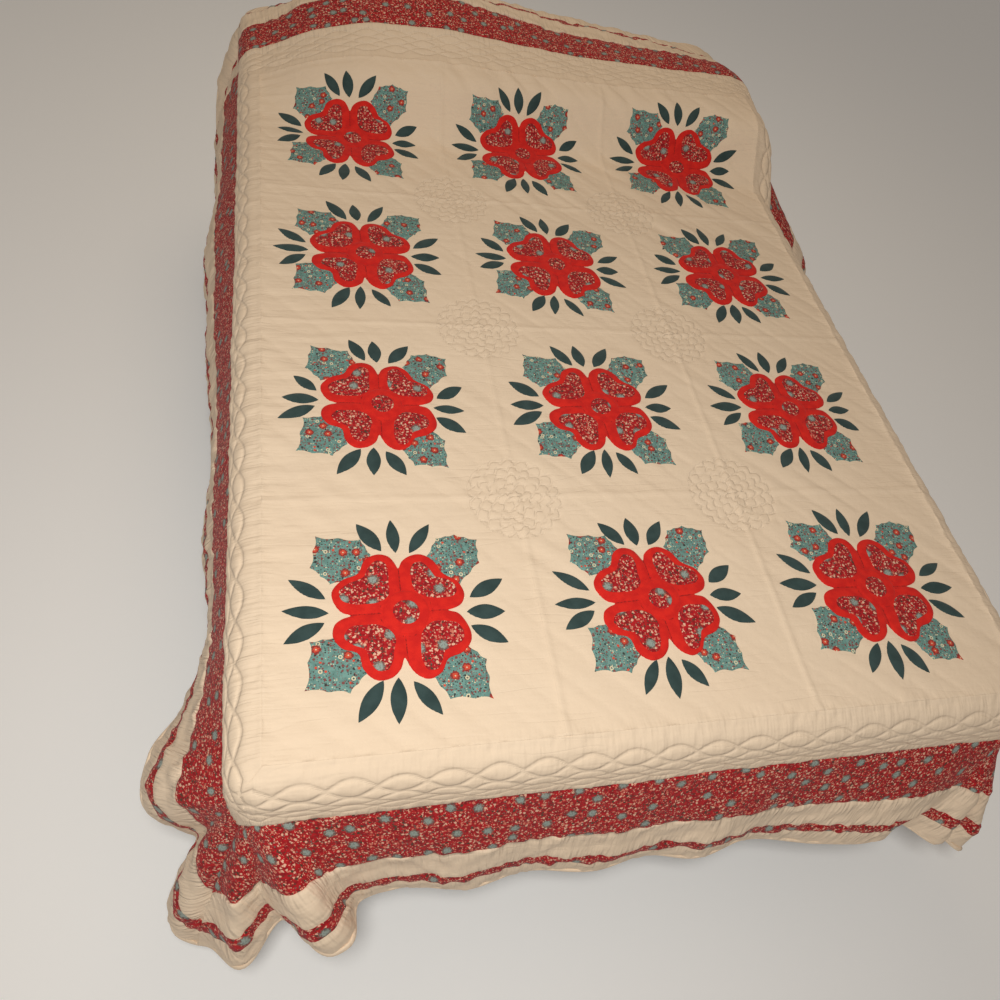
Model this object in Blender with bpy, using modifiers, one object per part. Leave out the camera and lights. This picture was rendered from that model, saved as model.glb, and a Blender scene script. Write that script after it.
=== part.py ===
"""Applique quilt draped over a double bed with two pillows under its head end. Metres, +Z up."""

import bmesh
import bpy
import numpy as np
from mathutils.geometry import delaunay_2d_cdt

COLLECTION = "applique_quilt_on_a_bed"

# quilt, sizes of the flat cloth
BLOCK = 0.419
COLUMNS = 3
ROWS = 4
INNER_BORDER = 0.128
WIDE_RED = 0.117
CREAM_STRIP = 0.068
NARROW_RED = 0.026
OUTER_CREAM = 0.045
BINDING = 0.008
THICK = 0.005
SEAM_GAP = 0.0003
SEAM_TROUGH = 0.0022
SEAM_REACH = 0.003
PUFF = 0.0012
PUFF_WAVES = ((41.0, 17.0, 0.0), (-13.0, 37.0, 1.0))
SHEET_GAP = 0.0004
LEAF_THICK = 0.0008
FLOWER_THICK = 0.0010
MOTIF_REACH = 0.5
SLOPE_LEAN = 25.0

# bed
MATTRESS_HALF = 0.674
FOOT_Y = -0.876
HEAD_Y = 1.075
MATTRESS_DEEP = 0.230
FOUNDATION_DEEP = 0.160
RAIL_DEEP = 0.080
RAIL_WIDE = 0.045
LEG_HIGH = 0.160
LEG_TOP = 0.056
LEG_FOOT = 0.040
LEG_IN = 0.004
FOUNDATION_IN = 0.012
PART_GAP = 0.0003
RAIL_ROUND = 0.004
FOUNDATION_ROUND = 0.020
EDGE_ROUND = 0.066
ROUND = 0.052
SIDE_CLEAR = 0.004
TOP_CLEAR = 0.0005
PILLOW_SPLIT = 0.012
PILLOW_CLEAR = 0.010
PILLOW_RIM = 0.012
PILLOW_FRONT = 0.0264
PILLOW_FROM = 1.3
PILLOW_LEFT = -1.36
PILLOW_CELLS = (10, 9)
PILLOW_SQUARE = 4
PILLOW_BLUNT = 5

BORDERS = INNER_BORDER + WIDE_RED + CREAM_STRIP + NARROW_RED + OUTER_CREAM + BINDING
FIELD_W = COLUMNS * BLOCK / 2
FIELD_L = ROWS * BLOCK / 2
HALF_W = FIELD_W + BORDERS
HALF_L = FIELD_L + BORDERS
BED_TOP = LEG_HIGH + RAIL_DEEP + FOUNDATION_DEEP + MATTRESS_DEEP + 3 * PART_GAP

# rise of the cloth over the pillows, across the bed:
# blocks from the middle, blocks at which it starts, share of the height, crest degrees, fall degrees
FRONT = (
    (-1.62, 1.66, 0.00, 0.0, -12.0),
    (-1.42, 1.60, 0.22, 2.0, -14.0),
    (-1.20, 1.57, 0.62, 6.0, -18.0),
    (-0.90, 1.53, 0.96, 11.0, -24.0),
    (-0.45, 1.52, 1.04, 13.0, -22.0),
    (0.10, 1.55, 0.98, 4.0, -6.0),
    (0.35, 1.53, 0.94, 0.0, 0.0),
    (0.80, 1.53, 1.00, -4.0, -4.0),
    (1.20, 1.46, 1.06, -5.0, -12.0),
    (1.45, 1.38, 1.08, -4.0, -18.0),
    (1.62, 1.34, 1.02, -2.0, -18.0),
)
# blocks of cloth past the start, slope in degrees
RISE = ((-0.08, 0), (0.06, 38), (0.18, 52), (0.28, 48), (0.40, 14), (0.52, 2), (1.04, 1), (1.12, 0))
# blocks of cloth past the start, share of the crest or fall slope
CREST = ((0.45, 0.0), (0.70, 1.0), (1.04, 1.0), (1.10, 0.0))
FALL = ((1.04, 0.0), (1.12, 1.0))
HEAD_EDGE = 2.72
EASE = 0.10
EASE_STEPS = 9
FINE = (901, 121)

# side, place along it, even stand-out of the hem
FLARE = (
    ("foot", -0.60, 0.075),
    ("foot", 0.60, 0.080),
    ("foot_right", 45.0, 0.070),
    ("right", -0.70, 0.050),
    ("right", 0.20, 0.045),
    ("right", 0.50, 0.110),
    ("right", 0.85, 0.080),
    ("head_right", 45.0, 0.040),
    ("head", 0.50, 0.025),
    ("head", -0.50, 0.025),
    ("head_left", 45.0, 0.040),
    ("left", 0.85, 0.100),
    ("left", 0.25, 0.110),
    ("left", 0.00, 0.065),
    ("left", -0.70, 0.050),
    ("foot_left", 45.0, 0.075),
)
# folds of the hem: side, place along it (degrees round a corner), stand-out, share of the drop where it opens
FOLDS = (
    ("foot", -0.530, 0.152, 0.34),
    ("foot", -0.513, 0.146, 0.34),
    ("foot", -0.492, 0.078, 0.34),
    ("foot", -0.425, 0.062, 0.34),
    ("foot", -0.300, 0.078, 0.34),
    ("foot", -0.215, 0.062, 0.34),
    ("foot", -0.080, 0.078, 0.34),
    ("foot", 0.020, 0.064, 0.34),
    ("foot", 0.110, 0.082, 0.34),
    ("foot", 0.220, 0.062, 0.34),
    ("foot", 0.360, 0.090, 0.34),
    ("foot", 0.470, 0.100, 0.34),
    ("foot", 0.540, 0.075, 0.34),
    ("foot", 0.610, 0.120, 0.34),
    ("foot_right", 5.0, 0.080, 0.34),
    ("foot_right", 25.0, 0.150, 0.34),
    ("foot_right", 48.0, 0.100, 0.34),
    ("foot_right", 70.0, 0.150, 0.34),
    ("foot_right", 92.0, 0.064, 0.34),
    ("right", -0.770, 0.135, 0.34),
    ("right", -0.680, 0.060, 0.34),
    ("right", -0.600, 0.050, 0.34),
    ("right", -0.400, 0.065, 0.34),
    ("right", -0.150, 0.045, 0.34),
    ("right", 0.150, 0.060, 0.30),
    ("right", 0.340, 0.080, 0.18),
    ("right", 0.500, 0.210, 0.06),
    ("right", 0.640, 0.110, 0.10),
    ("right", 0.800, 0.160, 0.06),
    ("right", 0.950, 0.085, 0.12),
    ("head_right", 45.0, 0.110, 0.34),
    ("head", 0.450, 0.030, 0.34),
    ("head", 0.200, 0.040, 0.34),
    ("head", -0.050, 0.025, 0.34),
    ("head", -0.300, 0.040, 0.34),
    ("head", -0.500, 0.030, 0.34),
    ("head_left", 45.0, 0.070, 0.34),
    ("left", 0.900, 0.070, 0.34),
    ("left", 0.700, 0.060, 0.34),
    ("left", 0.500, 0.085, 0.34),
    ("left", 0.330, 0.072, 0.34),
    ("left", 0.150, 0.068, 0.34),
    ("left", -0.050, 0.054, 0.34),
    ("left", -0.280, 0.064, 0.34),
    ("left", -0.480, 0.050, 0.34),
    ("left", -0.630, 0.094, 0.34),
    ("left", -0.700, 0.130, 0.34),
    ("left", -0.775, 0.140, 0.34),
    ("foot_left", -5.0, 0.060, 0.34),
    ("foot_left", 18.0, 0.105, 0.34),
    ("foot_left", 37.0, 0.140, 0.34),
    ("foot_left", 55.0, 0.120, 0.34),
    ("foot_left", 76.0, 0.142, 0.34),
    ("foot", -0.610, 0.078, 0.34),
)
# places where a point of the hem is known to hang straight below its point of the flat edge
PINS = (
    ("foot", 0.10),
    ("right", -0.15),
    ("right", 0.15),
    ("head", 0.15),
    ("head", -0.15),
    ("left", 0.15),
    ("left", -0.10),
    ("foot", -0.10),
)
PIN_OUT = 0.05
FLARE_FROM = 0.343
FOLD_POWER = 1.05
LEAST_DROP = 0.12
HEM_CELLS = 40
HEM_RUNS = 2400
DROP_ROWS = 161

# columns of the mesh along each side: end of the span as a share of the half side, cells in the span
ACROSS = ((-0.84, 4), (-0.6667, 4), (-0.3333, 4), (0.3333, 5), (0.6667, 3), (0.84, 3), (1.0, 3))
ALONG = ((-0.86, 4), (-0.64, 5), (-0.5, 2), (0.0, 3), (0.5, 4), (0.72, 4), (0.86, 2), (1.0, 2))
SEAM_SIDE = 0.022

# strips from the hem inward: name, width, rows, slot
STRIPS = (
    ("outer_cream", OUTER_CREAM, 1, "cream_cotton"),
    ("narrow_red", NARROW_RED, 1, "red_calico"),
    ("cream_strip", CREAM_STRIP, 1, "cream_cotton"),
    ("wide_red", WIDE_RED, 2, "red_calico"),
    ("inner_border", INNER_BORDER, 4, "cream_cotton"),
)
SIDES = ("foot", "right", "head", "left")

# flower outline: degrees off a diagonal, radius in blocks
PETAL = ((-45, 0.186), (-38, 0.214), (-28, 0.262), (-14, 0.258), (0, 0.216), (14, 0.258), (28, 0.262), (38, 0.214))
# leaf outline: blocks out along a diagonal, blocks to the side of it
LEAF = ((0.19, 0.075), (0.27, 0.104), (0.33, 0.132), (0.462, 0.024), (0.377, -0.088), (0.27, -0.100), (0.19, -0.080))
UNDER = ((0.195, -0.060), (0.195, 0.060))
# turn and size of the motif in each block, from the foot row up, left to right: degrees, scale
MOTIFS = (
    (0.0, 1.00),
    (3.0, 0.98),
    (-2.0, 1.01),
    (-2.0, 0.98),
    (2.0, 1.00),
    (1.0, 0.97),
    (2.0, 1.01),
    (-3.0, 0.99),
    (1.0, 1.00),
    (-1.0, 0.99),
    (2.0, 0.98),
    (-2.0, 1.00),
)

# slot: base colour, roughness
SLOTS = {
    "cream_cotton": ((0.86, 0.74, 0.58), 0.9),
    "red_calico": ((0.46, 0.03, 0.03), 0.9),
    "red_cotton": ((0.66, 0.02, 0.01), 0.85),
    "teal_calico": ((0.16, 0.36, 0.33), 0.9),
    "mattress_ticking": ((0.78, 0.76, 0.72), 0.9),
    "foundation_cloth": ((0.05, 0.05, 0.045), 0.9),
    "dark_wood": ((0.035, 0.026, 0.020), 0.5),
    "pillow_cotton": ((0.82, 0.80, 0.76), 0.9),
}

WALL_X = MATTRESS_HALF + SIDE_CLEAR
WALL_FOOT = FOOT_Y - SIDE_CLEAR
FLAT_X = WALL_X - ROUND
FLAT_FOOT = -WALL_FOOT - ROUND
FLAT_HEAD = HEAD_EDGE * BLOCK
TURN = 4 * HALF_W + 4 * HALF_L
STEP = 0.008
LEVEL = 0.9999


def column_of(table, index):
    """one column of a table as an array"""
    return np.array([row[index] for row in table], float)


def eased(x, index):
    """a column of FRONT across the bed, its corners eased"""
    shifts = np.linspace(-EASE, EASE, EASE_STEPS) * BLOCK
    at = column_of(FRONT, 0) * BLOCK
    return sum(np.interp(x + s, at, column_of(FRONT, index)) for s in shifts) / len(shifts)


U_FINE = np.linspace(-FLAT_X, FLAT_X, FINE[1])
V_FINE = np.linspace(-FLAT_FOOT, HALF_L, FINE[0])


def rise_profile():
    """place along the bed and height of each point of the fine grid of flat cloth"""
    start = eased(U_FINE, 1)[None] * BLOCK
    past = (V_FINE[:, None] - start) / BLOCK
    slope = np.interp(past, column_of(RISE, 0), column_of(RISE, 1)) * eased(U_FINE, 2)[None]
    slope = slope + np.interp(past, column_of(CREST, 0), column_of(CREST, 1)) * eased(U_FINE, 3)[None]
    slope = slope + np.interp(past, column_of(FALL, 0), column_of(FALL, 1)) * eased(U_FINE, 4)[None]
    step = np.diff(V_FINE, prepend=V_FINE[0])[:, None]
    angle = np.radians(slope)
    return V_FINE[0] + np.cumsum(step * np.cos(angle), 0), np.cumsum(step * np.sin(angle), 0)


RISE_Y, RISE_Z = rise_profile()


def blend(table, row, column):
    """values between the points of a table"""
    i = np.clip(row.astype(int), 0, table.shape[0] - 2)
    j = np.clip(column.astype(int), 0, table.shape[1] - 2)
    a = row - i
    b = column - j
    near = table[i, j] * (1 - b) + table[i, j + 1] * b
    far = table[i + 1, j] * (1 - b) + table[i + 1, j + 1] * b
    return near * (1 - a) + far * a


def lying(u, v):
    """points of the cloth that lies on the mattress and the pillows"""
    u, v = np.broadcast_arrays(np.asarray(u, float), np.asarray(v, float))
    column = np.clip((u + FLAT_X) / (2 * FLAT_X), 0, 1) * (len(U_FINE) - 1)
    row = np.clip((v - V_FINE[0]) / (V_FINE[-1] - V_FINE[0]), 0, 1) * (len(V_FINE) - 1)
    return np.stack([u, blend(RISE_Y, row, column), blend(RISE_Z, row, column)], -1)


def head_line(x):
    """plan line that the cloth turns down over at the head"""
    return float(lying(np.clip(x, -FLAT_X, FLAT_X), FLAT_HEAD)[..., 1])


CORNERS = {
    "foot_left": (-FLAT_X, -FLAT_FOOT, 180.0, 0.0),
    "foot_right": (FLAT_X, -FLAT_FOOT, 270.0, HALF_W),
    "head_right": (FLAT_X, head_line(FLAT_X), 0.0, HALF_W + 2 * HALF_L),
    "head_left": (-FLAT_X, head_line(-FLAT_X), 90.0, 3 * HALF_W + 2 * HALF_L),
}


def run_at(side, along):
    """run round the flat edge, from the middle of the foot, of a place on a side"""
    if side == "foot":
        return along % TURN
    if side == "right":
        return HALF_W + HALF_L + along
    if side == "head":
        return 2 * HALF_W + 2 * HALF_L - along
    if side == "left":
        return 3 * HALF_W + 3 * HALF_L - along
    if side == "foot_left":
        return 3 * HALF_W + 4 * HALF_L
    return CORNERS[side][3]


def fold_point(side, along, out):
    """plan point of the hem"""
    if side == "foot":
        return along, WALL_FOOT - out
    if side == "head":
        return along, head_line(along) + ROUND + out
    if side == "left":
        return -WALL_X - out, along
    if side == "right":
        return WALL_X + out, along
    x, y, first, _ = CORNERS[side]
    angle = np.radians(first + along)
    return x + (ROUND + out) * np.cos(angle), y + (ROUND + out) * np.sin(angle)


def closed_curve(points, cells):
    """smooth closed curve through the points"""
    here = np.asarray(points, float)
    ahead = np.roll(here, -1, 0)
    behind = np.roll(here, 1, 0)
    d1 = np.linalg.norm(ahead - here, axis=1)[:, None]
    d0 = np.linalg.norm(here - behind, axis=1)[:, None]
    tangent = ((here - behind) / d0 * d1 + (ahead - here) / d1 * d0) / (d0 + d1)
    t = np.linspace(0, 1, cells, endpoint=False)[None, :, None]
    leave = (tangent * d1)[:, None]
    arrive = (np.roll(tangent, -1, 0) * d1)[:, None]
    curve = here[:, None] * (2 * t**3 - 3 * t**2 + 1) + ahead[:, None] * (3 * t**2 - 2 * t**3)
    return (curve + leave * (t**3 - 2 * t**2 + t) + arrive * (t**3 - t**2)).reshape(-1, here.shape[1])


def flat_edge(run):
    """flat point of the hem at a run round it"""
    ends = np.cumsum([0, HALF_W, 2 * HALF_L, 2 * HALF_W, 2 * HALF_L, HALF_W])
    u = np.interp(run, ends, [0, HALF_W, HALF_W, -HALF_W, -HALF_W, 0])
    v = np.interp(run, ends, [-HALF_L, -HALF_L, HALF_L, HALF_L, -HALF_L, -HALF_L])
    return u, v


def hem_points():
    """runs round the hem, its plan points and the share of the drop where each opens"""
    curve = closed_curve([fold_point(*row[:3]) for row in FOLDS], HEM_CELLS)
    opens = np.append(column_of(FOLDS, 3), FOLDS[0][3])
    opens = np.interp(np.arange(len(curve) + 1) / HEM_CELLS, np.arange(len(opens)), opens)
    closed = np.vstack([curve, curve[:1]])
    arc = np.append(0, np.cumsum(np.linalg.norm(np.diff(closed, axis=0), axis=1)))
    pins = []
    for side, along in PINS:
        x, y = fold_point(side, along, PIN_OUT)
        nearest = np.argmin(np.hypot(closed[:, 0] - x, closed[:, 1] - y))
        pins.append((arc[nearest], run_at(side, along)))
    first_arc, first_run = pins[0]
    known = sorted(((a - first_arc) % arc[-1], (r - first_run) % TURN) for a, r in pins)
    known.append((arc[-1], TURN))
    runs = np.linspace(0, TURN, HEM_RUNS, endpoint=False)
    where = np.interp((runs - first_run) % TURN, [k[1] for k in known], [k[0] for k in known])
    where = (where + first_arc) % arc[-1]
    plan = np.stack([np.interp(where, arc, closed[:, 0]), np.interp(where, arc, closed[:, 1])], -1)
    return runs, plan, np.interp(where, arc, opens)


DROPS = np.linspace(0, 1, DROP_ROWS)


def hanging_table():
    """points of the cloth beyond the bed's edge: a row for each share of the drop, a column for each run"""
    runs, hem, opens = hem_points()
    u, v = flat_edge(runs)
    edge_u = np.clip(u, -FLAT_X, FLAT_X)
    edge_v = np.clip(v, -FLAT_FOOT, FLAT_HEAD)
    start = lying(edge_u, edge_v)
    line = np.stack([u - edge_u, v - edge_v], -1)
    length = np.linalg.norm(line, axis=-1)
    line = line / length[:, None]
    order = sorted((run_at(side, along), out) for side, along, out in FLARE)
    even = np.interp(runs, [o[0] for o in order], [o[1] for o in order], period=TURN)
    base = line * even[:, None]
    fold = hem - start[:, :2] - line * ROUND - base
    cloth = DROPS[:, None] * length[None]
    roll = ROUND * np.sin(np.minimum(cloth / ROUND, np.pi / 2))
    base_share = np.sin(np.clip((DROPS - FLARE_FROM) / (1 - FLARE_FROM), 0, 1) * np.pi / 2)
    fold_share = np.clip((DROPS[:, None] - opens) / (1 - opens), 0, 1) ** FOLD_POWER
    plan = start[None, :, :2] + line[None] * roll[..., None]
    plan = plan + base[None] * base_share[:, None, None] + fold[None] * fold_share[..., None]
    across = np.linalg.norm(np.diff(plan, axis=0), axis=-1)
    step = np.diff(cloth, axis=0)
    down = np.sqrt(np.maximum(step**2 - across**2, (LEAST_DROP * step) ** 2))
    z = start[None, :, 2] - np.vstack([np.zeros(len(runs)), np.cumsum(down, 0)])
    return np.concatenate([plan, z[..., None]], -1)


HANGING = hanging_table()


def cloth(u, v):
    """under-face of the quilt at flat points, heights from the top of the mattress"""
    u, v = np.broadcast_arrays(np.asarray(u, float), np.asarray(v, float))
    edge_u = np.clip(u, -FLAT_X, FLAT_X)
    edge_v = np.clip(v, -FLAT_FOOT, FLAT_HEAD)
    du = u - edge_u
    dv = v - edge_v
    reach = np.where(dv < 0, HALF_L - FLAT_FOOT, HALF_L - FLAT_HEAD)
    drop = np.maximum(np.abs(du) / (HALF_W - FLAT_X), np.abs(dv) / reach)
    hem_u = edge_u + du / np.maximum(drop, 1e-12)
    hem_v = edge_v + dv / np.maximum(drop, 1e-12)
    near = 1e-7
    run = np.where(hem_v >= HALF_L - near, 2 * HALF_W + 2 * HALF_L - hem_u, 3 * HALF_W + 3 * HALF_L - hem_v)
    run = np.where(hem_u >= HALF_W - near, HALF_W + HALF_L + hem_v, run)
    run = np.where(hem_v <= -HALF_L + near, hem_u, run) % TURN
    column = run / TURN * HEM_RUNS
    j = np.floor(column).astype(int) % HEM_RUNS
    b = (column - np.floor(column))[..., None]
    row = np.clip(drop, 0, 1) * (len(DROPS) - 1)
    i = np.minimum(row.astype(int), len(DROPS) - 2)
    a = (row - i)[..., None]
    after = (j + 1) % HEM_RUNS
    hung = (HANGING[i, j] * (1 - b) + HANGING[i, after] * b) * (1 - a)
    hung = hung + (HANGING[i + 1, j] * (1 - b) + HANGING[i + 1, after] * b) * a
    flat = (drop <= 1e-9)[..., None]
    return np.where(flat, lying(u, v), hung) + np.array([0, 0, TOP_CLEAR])


def raised(u, v, height):
    """points at a height over the under-face"""
    u = np.asarray(u, float)
    v = np.asarray(v, float)
    along_u = cloth(np.clip(u + STEP, -HALF_W, HALF_W), v) - cloth(np.clip(u - STEP, -HALF_W, HALF_W), v)
    along_v = cloth(u, np.clip(v + STEP, -HALF_L, HALF_L)) - cloth(u, np.clip(v - STEP, -HALF_L, HALF_L))
    normal = np.cross(along_u, along_v)
    normal /= np.linalg.norm(normal, axis=-1)[..., None]
    return cloth(u, v) + normal * np.asarray(height)[..., None]


def stations(spans, seams):
    """shares of the half side at which the mesh has columns"""
    out = [-1.0]
    for end, cells in spans:
        out.extend(np.linspace(out[-1], end, cells + 1)[1:])
    for seam in seams:
        out = [t for t in out if abs(t - seam) > SEAM_SIDE * 1.2]
        out.extend([seam - SEAM_SIDE, seam, seam + SEAM_SIDE])
    return np.array(sorted(out))


T_ACROSS = stations(ACROSS, (-1 / 3, 1 / 3))
T_ALONG = stations(ALONG, (-0.5, 0.0, 0.5))


def link(obj, slot):
    """the object in the collection, smooth, with its slot's material"""
    material = bpy.data.materials.get(slot)
    if material is None:
        colour, roughness = SLOTS[slot]
        material = bpy.data.materials.new(slot)
        material.use_nodes = True
        shader = material.node_tree.nodes["Principled BSDF"]
        shader.inputs["Base Color"].default_value = (*colour, 1.0)
        shader.inputs["Roughness"].default_value = roughness
        material.diffuse_color = (*colour, 1.0)
    obj.data.materials.append(material)
    obj.data.shade_smooth()
    PARTS.objects.link(obj)
    return obj


def mesh_object(name, points, faces, slot):
    """closed body from points and faces, its faces turned outward"""
    mesh = bpy.data.meshes.new(name)
    mesh.from_pydata([tuple(p) for p in points], [], [tuple(int(i) for i in f) for f in faces])
    work = bmesh.new()
    work.from_mesh(mesh)
    bmesh.ops.recalc_face_normals(work, faces=work.faces)
    work.to_mesh(mesh)
    work.free()
    return link(bpy.data.objects.new(name, mesh), slot)


def inset(grid):
    """the grid with its rim drawn in by half the gap at a seam"""
    out = grid.copy()
    for first, second in ((0, 1), (-1, -2)):
        for axis in (0, 1):
            rim = np.take(grid, first, axis)
            step = np.take(grid, second, axis) - rim
            step *= SEAM_GAP / 2 / np.linalg.norm(step, axis=-1)[..., None]
            if axis == 0:
                out[first] += step
            else:
                out[:, first] += step
    return out


def slab(name, top, under, slot, flat_under=False):
    """solid between two grids of points of the same shape"""
    rows, columns = top.shape[:2]
    count = rows * columns
    index = np.arange(count).reshape(rows, columns)
    a, b, c, d = index[:-1, :-1], index[:-1, 1:], index[1:, 1:], index[1:, :-1]
    faces = [*np.stack([a, b, c], -1).reshape(-1, 3), *np.stack([a, c, d], -1).reshape(-1, 3)]
    if flat_under:
        rim = np.concatenate([index[0, :-1], index[:-1, -1], index[-1, :0:-1], index[:0:-1, 0]])
        faces.append(rim[::-1] + count)
    else:
        faces += [*np.stack([c, b, a], -1).reshape(-1, 3) + count, *np.stack([d, c, a], -1).reshape(-1, 3) + count]
    for edge, turned in ((index[0], False), (index[-1], True), (index[:, 0], True), (index[:, -1], False)):
        here, ahead = edge[:-1], edge[1:]
        walls = [np.stack([here, here + count, ahead], -1), np.stack([here + count, ahead + count, ahead], -1)]
        for wall in walls:
            faces += [*(wall[:, ::-1] if turned else wall)]
    points = np.concatenate([top.reshape(-1, 3), under.reshape(-1, 3)])
    points[:, 2] += BED_TOP
    obj = mesh_object(name, points, faces, slot)
    if flat_under:
        tidy_points(obj)
    return obj


def tidy_points(obj):
    """drop points that no face uses"""
    work = bmesh.new()
    work.from_mesh(obj.data)
    bmesh.ops.delete(work, geom=[v for v in work.verts if not v.link_faces], context="VERTS")
    work.to_mesh(obj.data)
    work.free()


def level_under(obj):
    """join the cells of a level under-face into one face"""
    work = bmesh.new()
    work.from_mesh(obj.data)
    low = BED_TOP + TOP_CLEAR + 1e-6
    level = {f for f in work.faces if f.normal.z < -LEVEL and max(v.co.z for v in f.verts) < low}
    shared = [e for e in work.edges if len(e.link_faces) == 2 and level.issuperset(e.link_faces)]
    bmesh.ops.dissolve_edges(work, edges=shared, use_verts=True)
    work.to_mesh(obj.data)
    work.free()


def from_hem():
    """distances from the hem of the mesh's rows, and the row at which each strip starts and ends"""
    rows = [0.0, BINDING]
    spans = []
    for _, width, cells, _ in STRIPS:
        spans.append((len(rows) - 1, len(rows) - 1 + cells))
        rows.extend(np.linspace(rows[-1], rows[-1] + width, cells + 1)[1:])
    return np.array(rows), spans


HEM_ROWS, STRIP_SPANS = from_hem()


def border_grid(side):
    """face and under-face points of one side's borders, rows from the hem inward"""
    rows = HEM_ROWS[:, None]
    if side in ("foot", "head"):
        u = T_ACROSS[None] * (HALF_W - rows)
        v = np.broadcast_to(HALF_L - rows, u.shape) * (-1 if side == "foot" else 1)
    else:
        v = T_ALONG[None] * (HALF_L - rows)
        u = np.broadcast_to(HALF_W - rows, v.shape) * (-1 if side == "left" else 1)
    return raised(u, v, THICK), cloth(u, v)


def build_borders():
    """four mitred strips of each border, and the binding round them"""
    loops = [[], [], [], []]
    turned = []
    for side in SIDES:
        top, under = border_grid(side)
        for (kind, _, _, slot), (first, last) in zip(STRIPS, STRIP_SPANS):
            slab(f"{kind}_{side}", inset(top[first : last + 1]), inset(under[first : last + 1]), slot)
        back_to_front = side in ("head", "left")
        ways = slice(None, 0, -1) if back_to_front else slice(None, -1)
        inner = []
        for grid in (top, under):
            back = grid[0] - grid[1]
            inner.append(grid[1] + back * SEAM_GAP / 2 / np.linalg.norm(back, axis=-1)[:, None])
        for loop, row in zip(loops, (top[0], inner[0], inner[1], under[0])):
            loop.append(row[ways])
        turned += [back_to_front] * (top.shape[1] - 1)
    points = np.concatenate([np.concatenate(loop) for loop in loops])
    points[:, 2] += BED_TOP
    count = len(turned)
    faces = []
    for k in range(4):
        a = k * count
        b = (k + 1) % 4 * count
        for here in range(count):
            ahead = (here + 1) % count
            if turned[here]:
                faces += [(here + b, here + a, ahead + b), (ahead + b, here + a, ahead + a)]
            else:
                faces += [(here + a, ahead + a, here + b), (here + b, ahead + a, ahead + b)]
    mesh_object("binding", points, faces, "cream_cotton")


def field_dip(u, v):
    """how far the field's face sinks at its seams and between its puffs"""
    dip = np.zeros(np.broadcast(u, v).shape)
    for k in range(1, COLUMNS):
        dip = np.maximum(dip, SEAM_TROUGH * (np.abs(u - (k * BLOCK - FIELD_W)) < SEAM_REACH))
    for k in range(1, ROWS):
        dip = np.maximum(dip, SEAM_TROUGH * (np.abs(v - (k * BLOCK - FIELD_L)) < SEAM_REACH))
    waves = [np.sin(u * wave_u + v * wave_v + start) for wave_u, wave_v, start in PUFF_WAVES]
    puffs = PUFF * (0.5 + 0.5 * waves[0] * waves[1])
    rim = (np.abs(u) > FIELD_W - 1e-6) | (np.abs(v) > FIELD_L - 1e-6)
    return np.where(rim, 0.0, np.maximum(dip, puffs))


FIELD_U = T_ACROSS * FIELD_W
FIELD_V = T_ALONG * FIELD_L


def field_grid():
    """face and under-face points of the field of blocks"""
    u, v = np.meshgrid(FIELD_U, FIELD_V)
    return raised(u, v, THICK - field_dip(u, v)), cloth(u, v)


FIELD_TOP, FIELD_UNDER = field_grid()


def on_field(u, v):
    """points on the field's faces, which are two triangles a cell"""
    j = np.clip(np.searchsorted(FIELD_U, u) - 1, 0, len(FIELD_U) - 2)
    i = np.clip(np.searchsorted(FIELD_V, v) - 1, 0, len(FIELD_V) - 2)
    a = ((u - FIELD_U[j]) / (FIELD_U[j + 1] - FIELD_U[j]))[:, None]
    b = ((v - FIELD_V[i]) / (FIELD_V[i + 1] - FIELD_V[i]))[:, None]
    p00, p01 = FIELD_TOP[i, j], FIELD_TOP[i, j + 1]
    p11, p10 = FIELD_TOP[i + 1, j + 1], FIELD_TOP[i + 1, j]
    lower = p00 + (p01 - p00) * a + (p11 - p01) * b
    upper = p00 + (p10 - p00) * b + (p11 - p10) * a
    return np.where(a >= b, lower, upper)


def ring_points(rows, quarter):
    """outline of four like parts, one on each diagonal"""
    out = []
    for k in range(4):
        turn = np.radians(45 + 90 * k)
        for row in rows:
            x, y = quarter(row)
            out.append((x * np.cos(turn) - y * np.sin(turn), x * np.sin(turn) + y * np.cos(turn)))
    return np.array(out)


def flower_outline():
    """outline of the flower's four heart-shaped petals, in blocks"""
    return [ring_points(PETAL, lambda r: (r[1] * np.cos(np.radians(r[0])), r[1] * np.sin(np.radians(r[0]))))]


def leaf_outlines():
    """outlines of the four leaves and of their joined part under the flower, in blocks"""
    leaves = ring_points(LEAF, lambda r: r).reshape(4, len(LEAF), 2)
    return [*leaves, ring_points(UNDER, lambda r: r)]


def inside(points, outline):
    """whether points lie inside an outline"""
    x, y = points[:, 0], points[:, 1]
    hit = np.zeros(len(points), bool)
    ax, ay = outline[:, 0], outline[:, 1]
    bx, by = np.roll(ax, -1), np.roll(ay, -1)
    for k in range(len(outline)):
        crosses = (ay[k] > y) != (by[k] > y)
        rise = by[k] - ay[k] if by[k] != ay[k] else 1.0
        hit ^= crosses & (x < ax[k] + (y - ay[k]) / rise * (bx[k] - ax[k]))
    return hit


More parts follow.
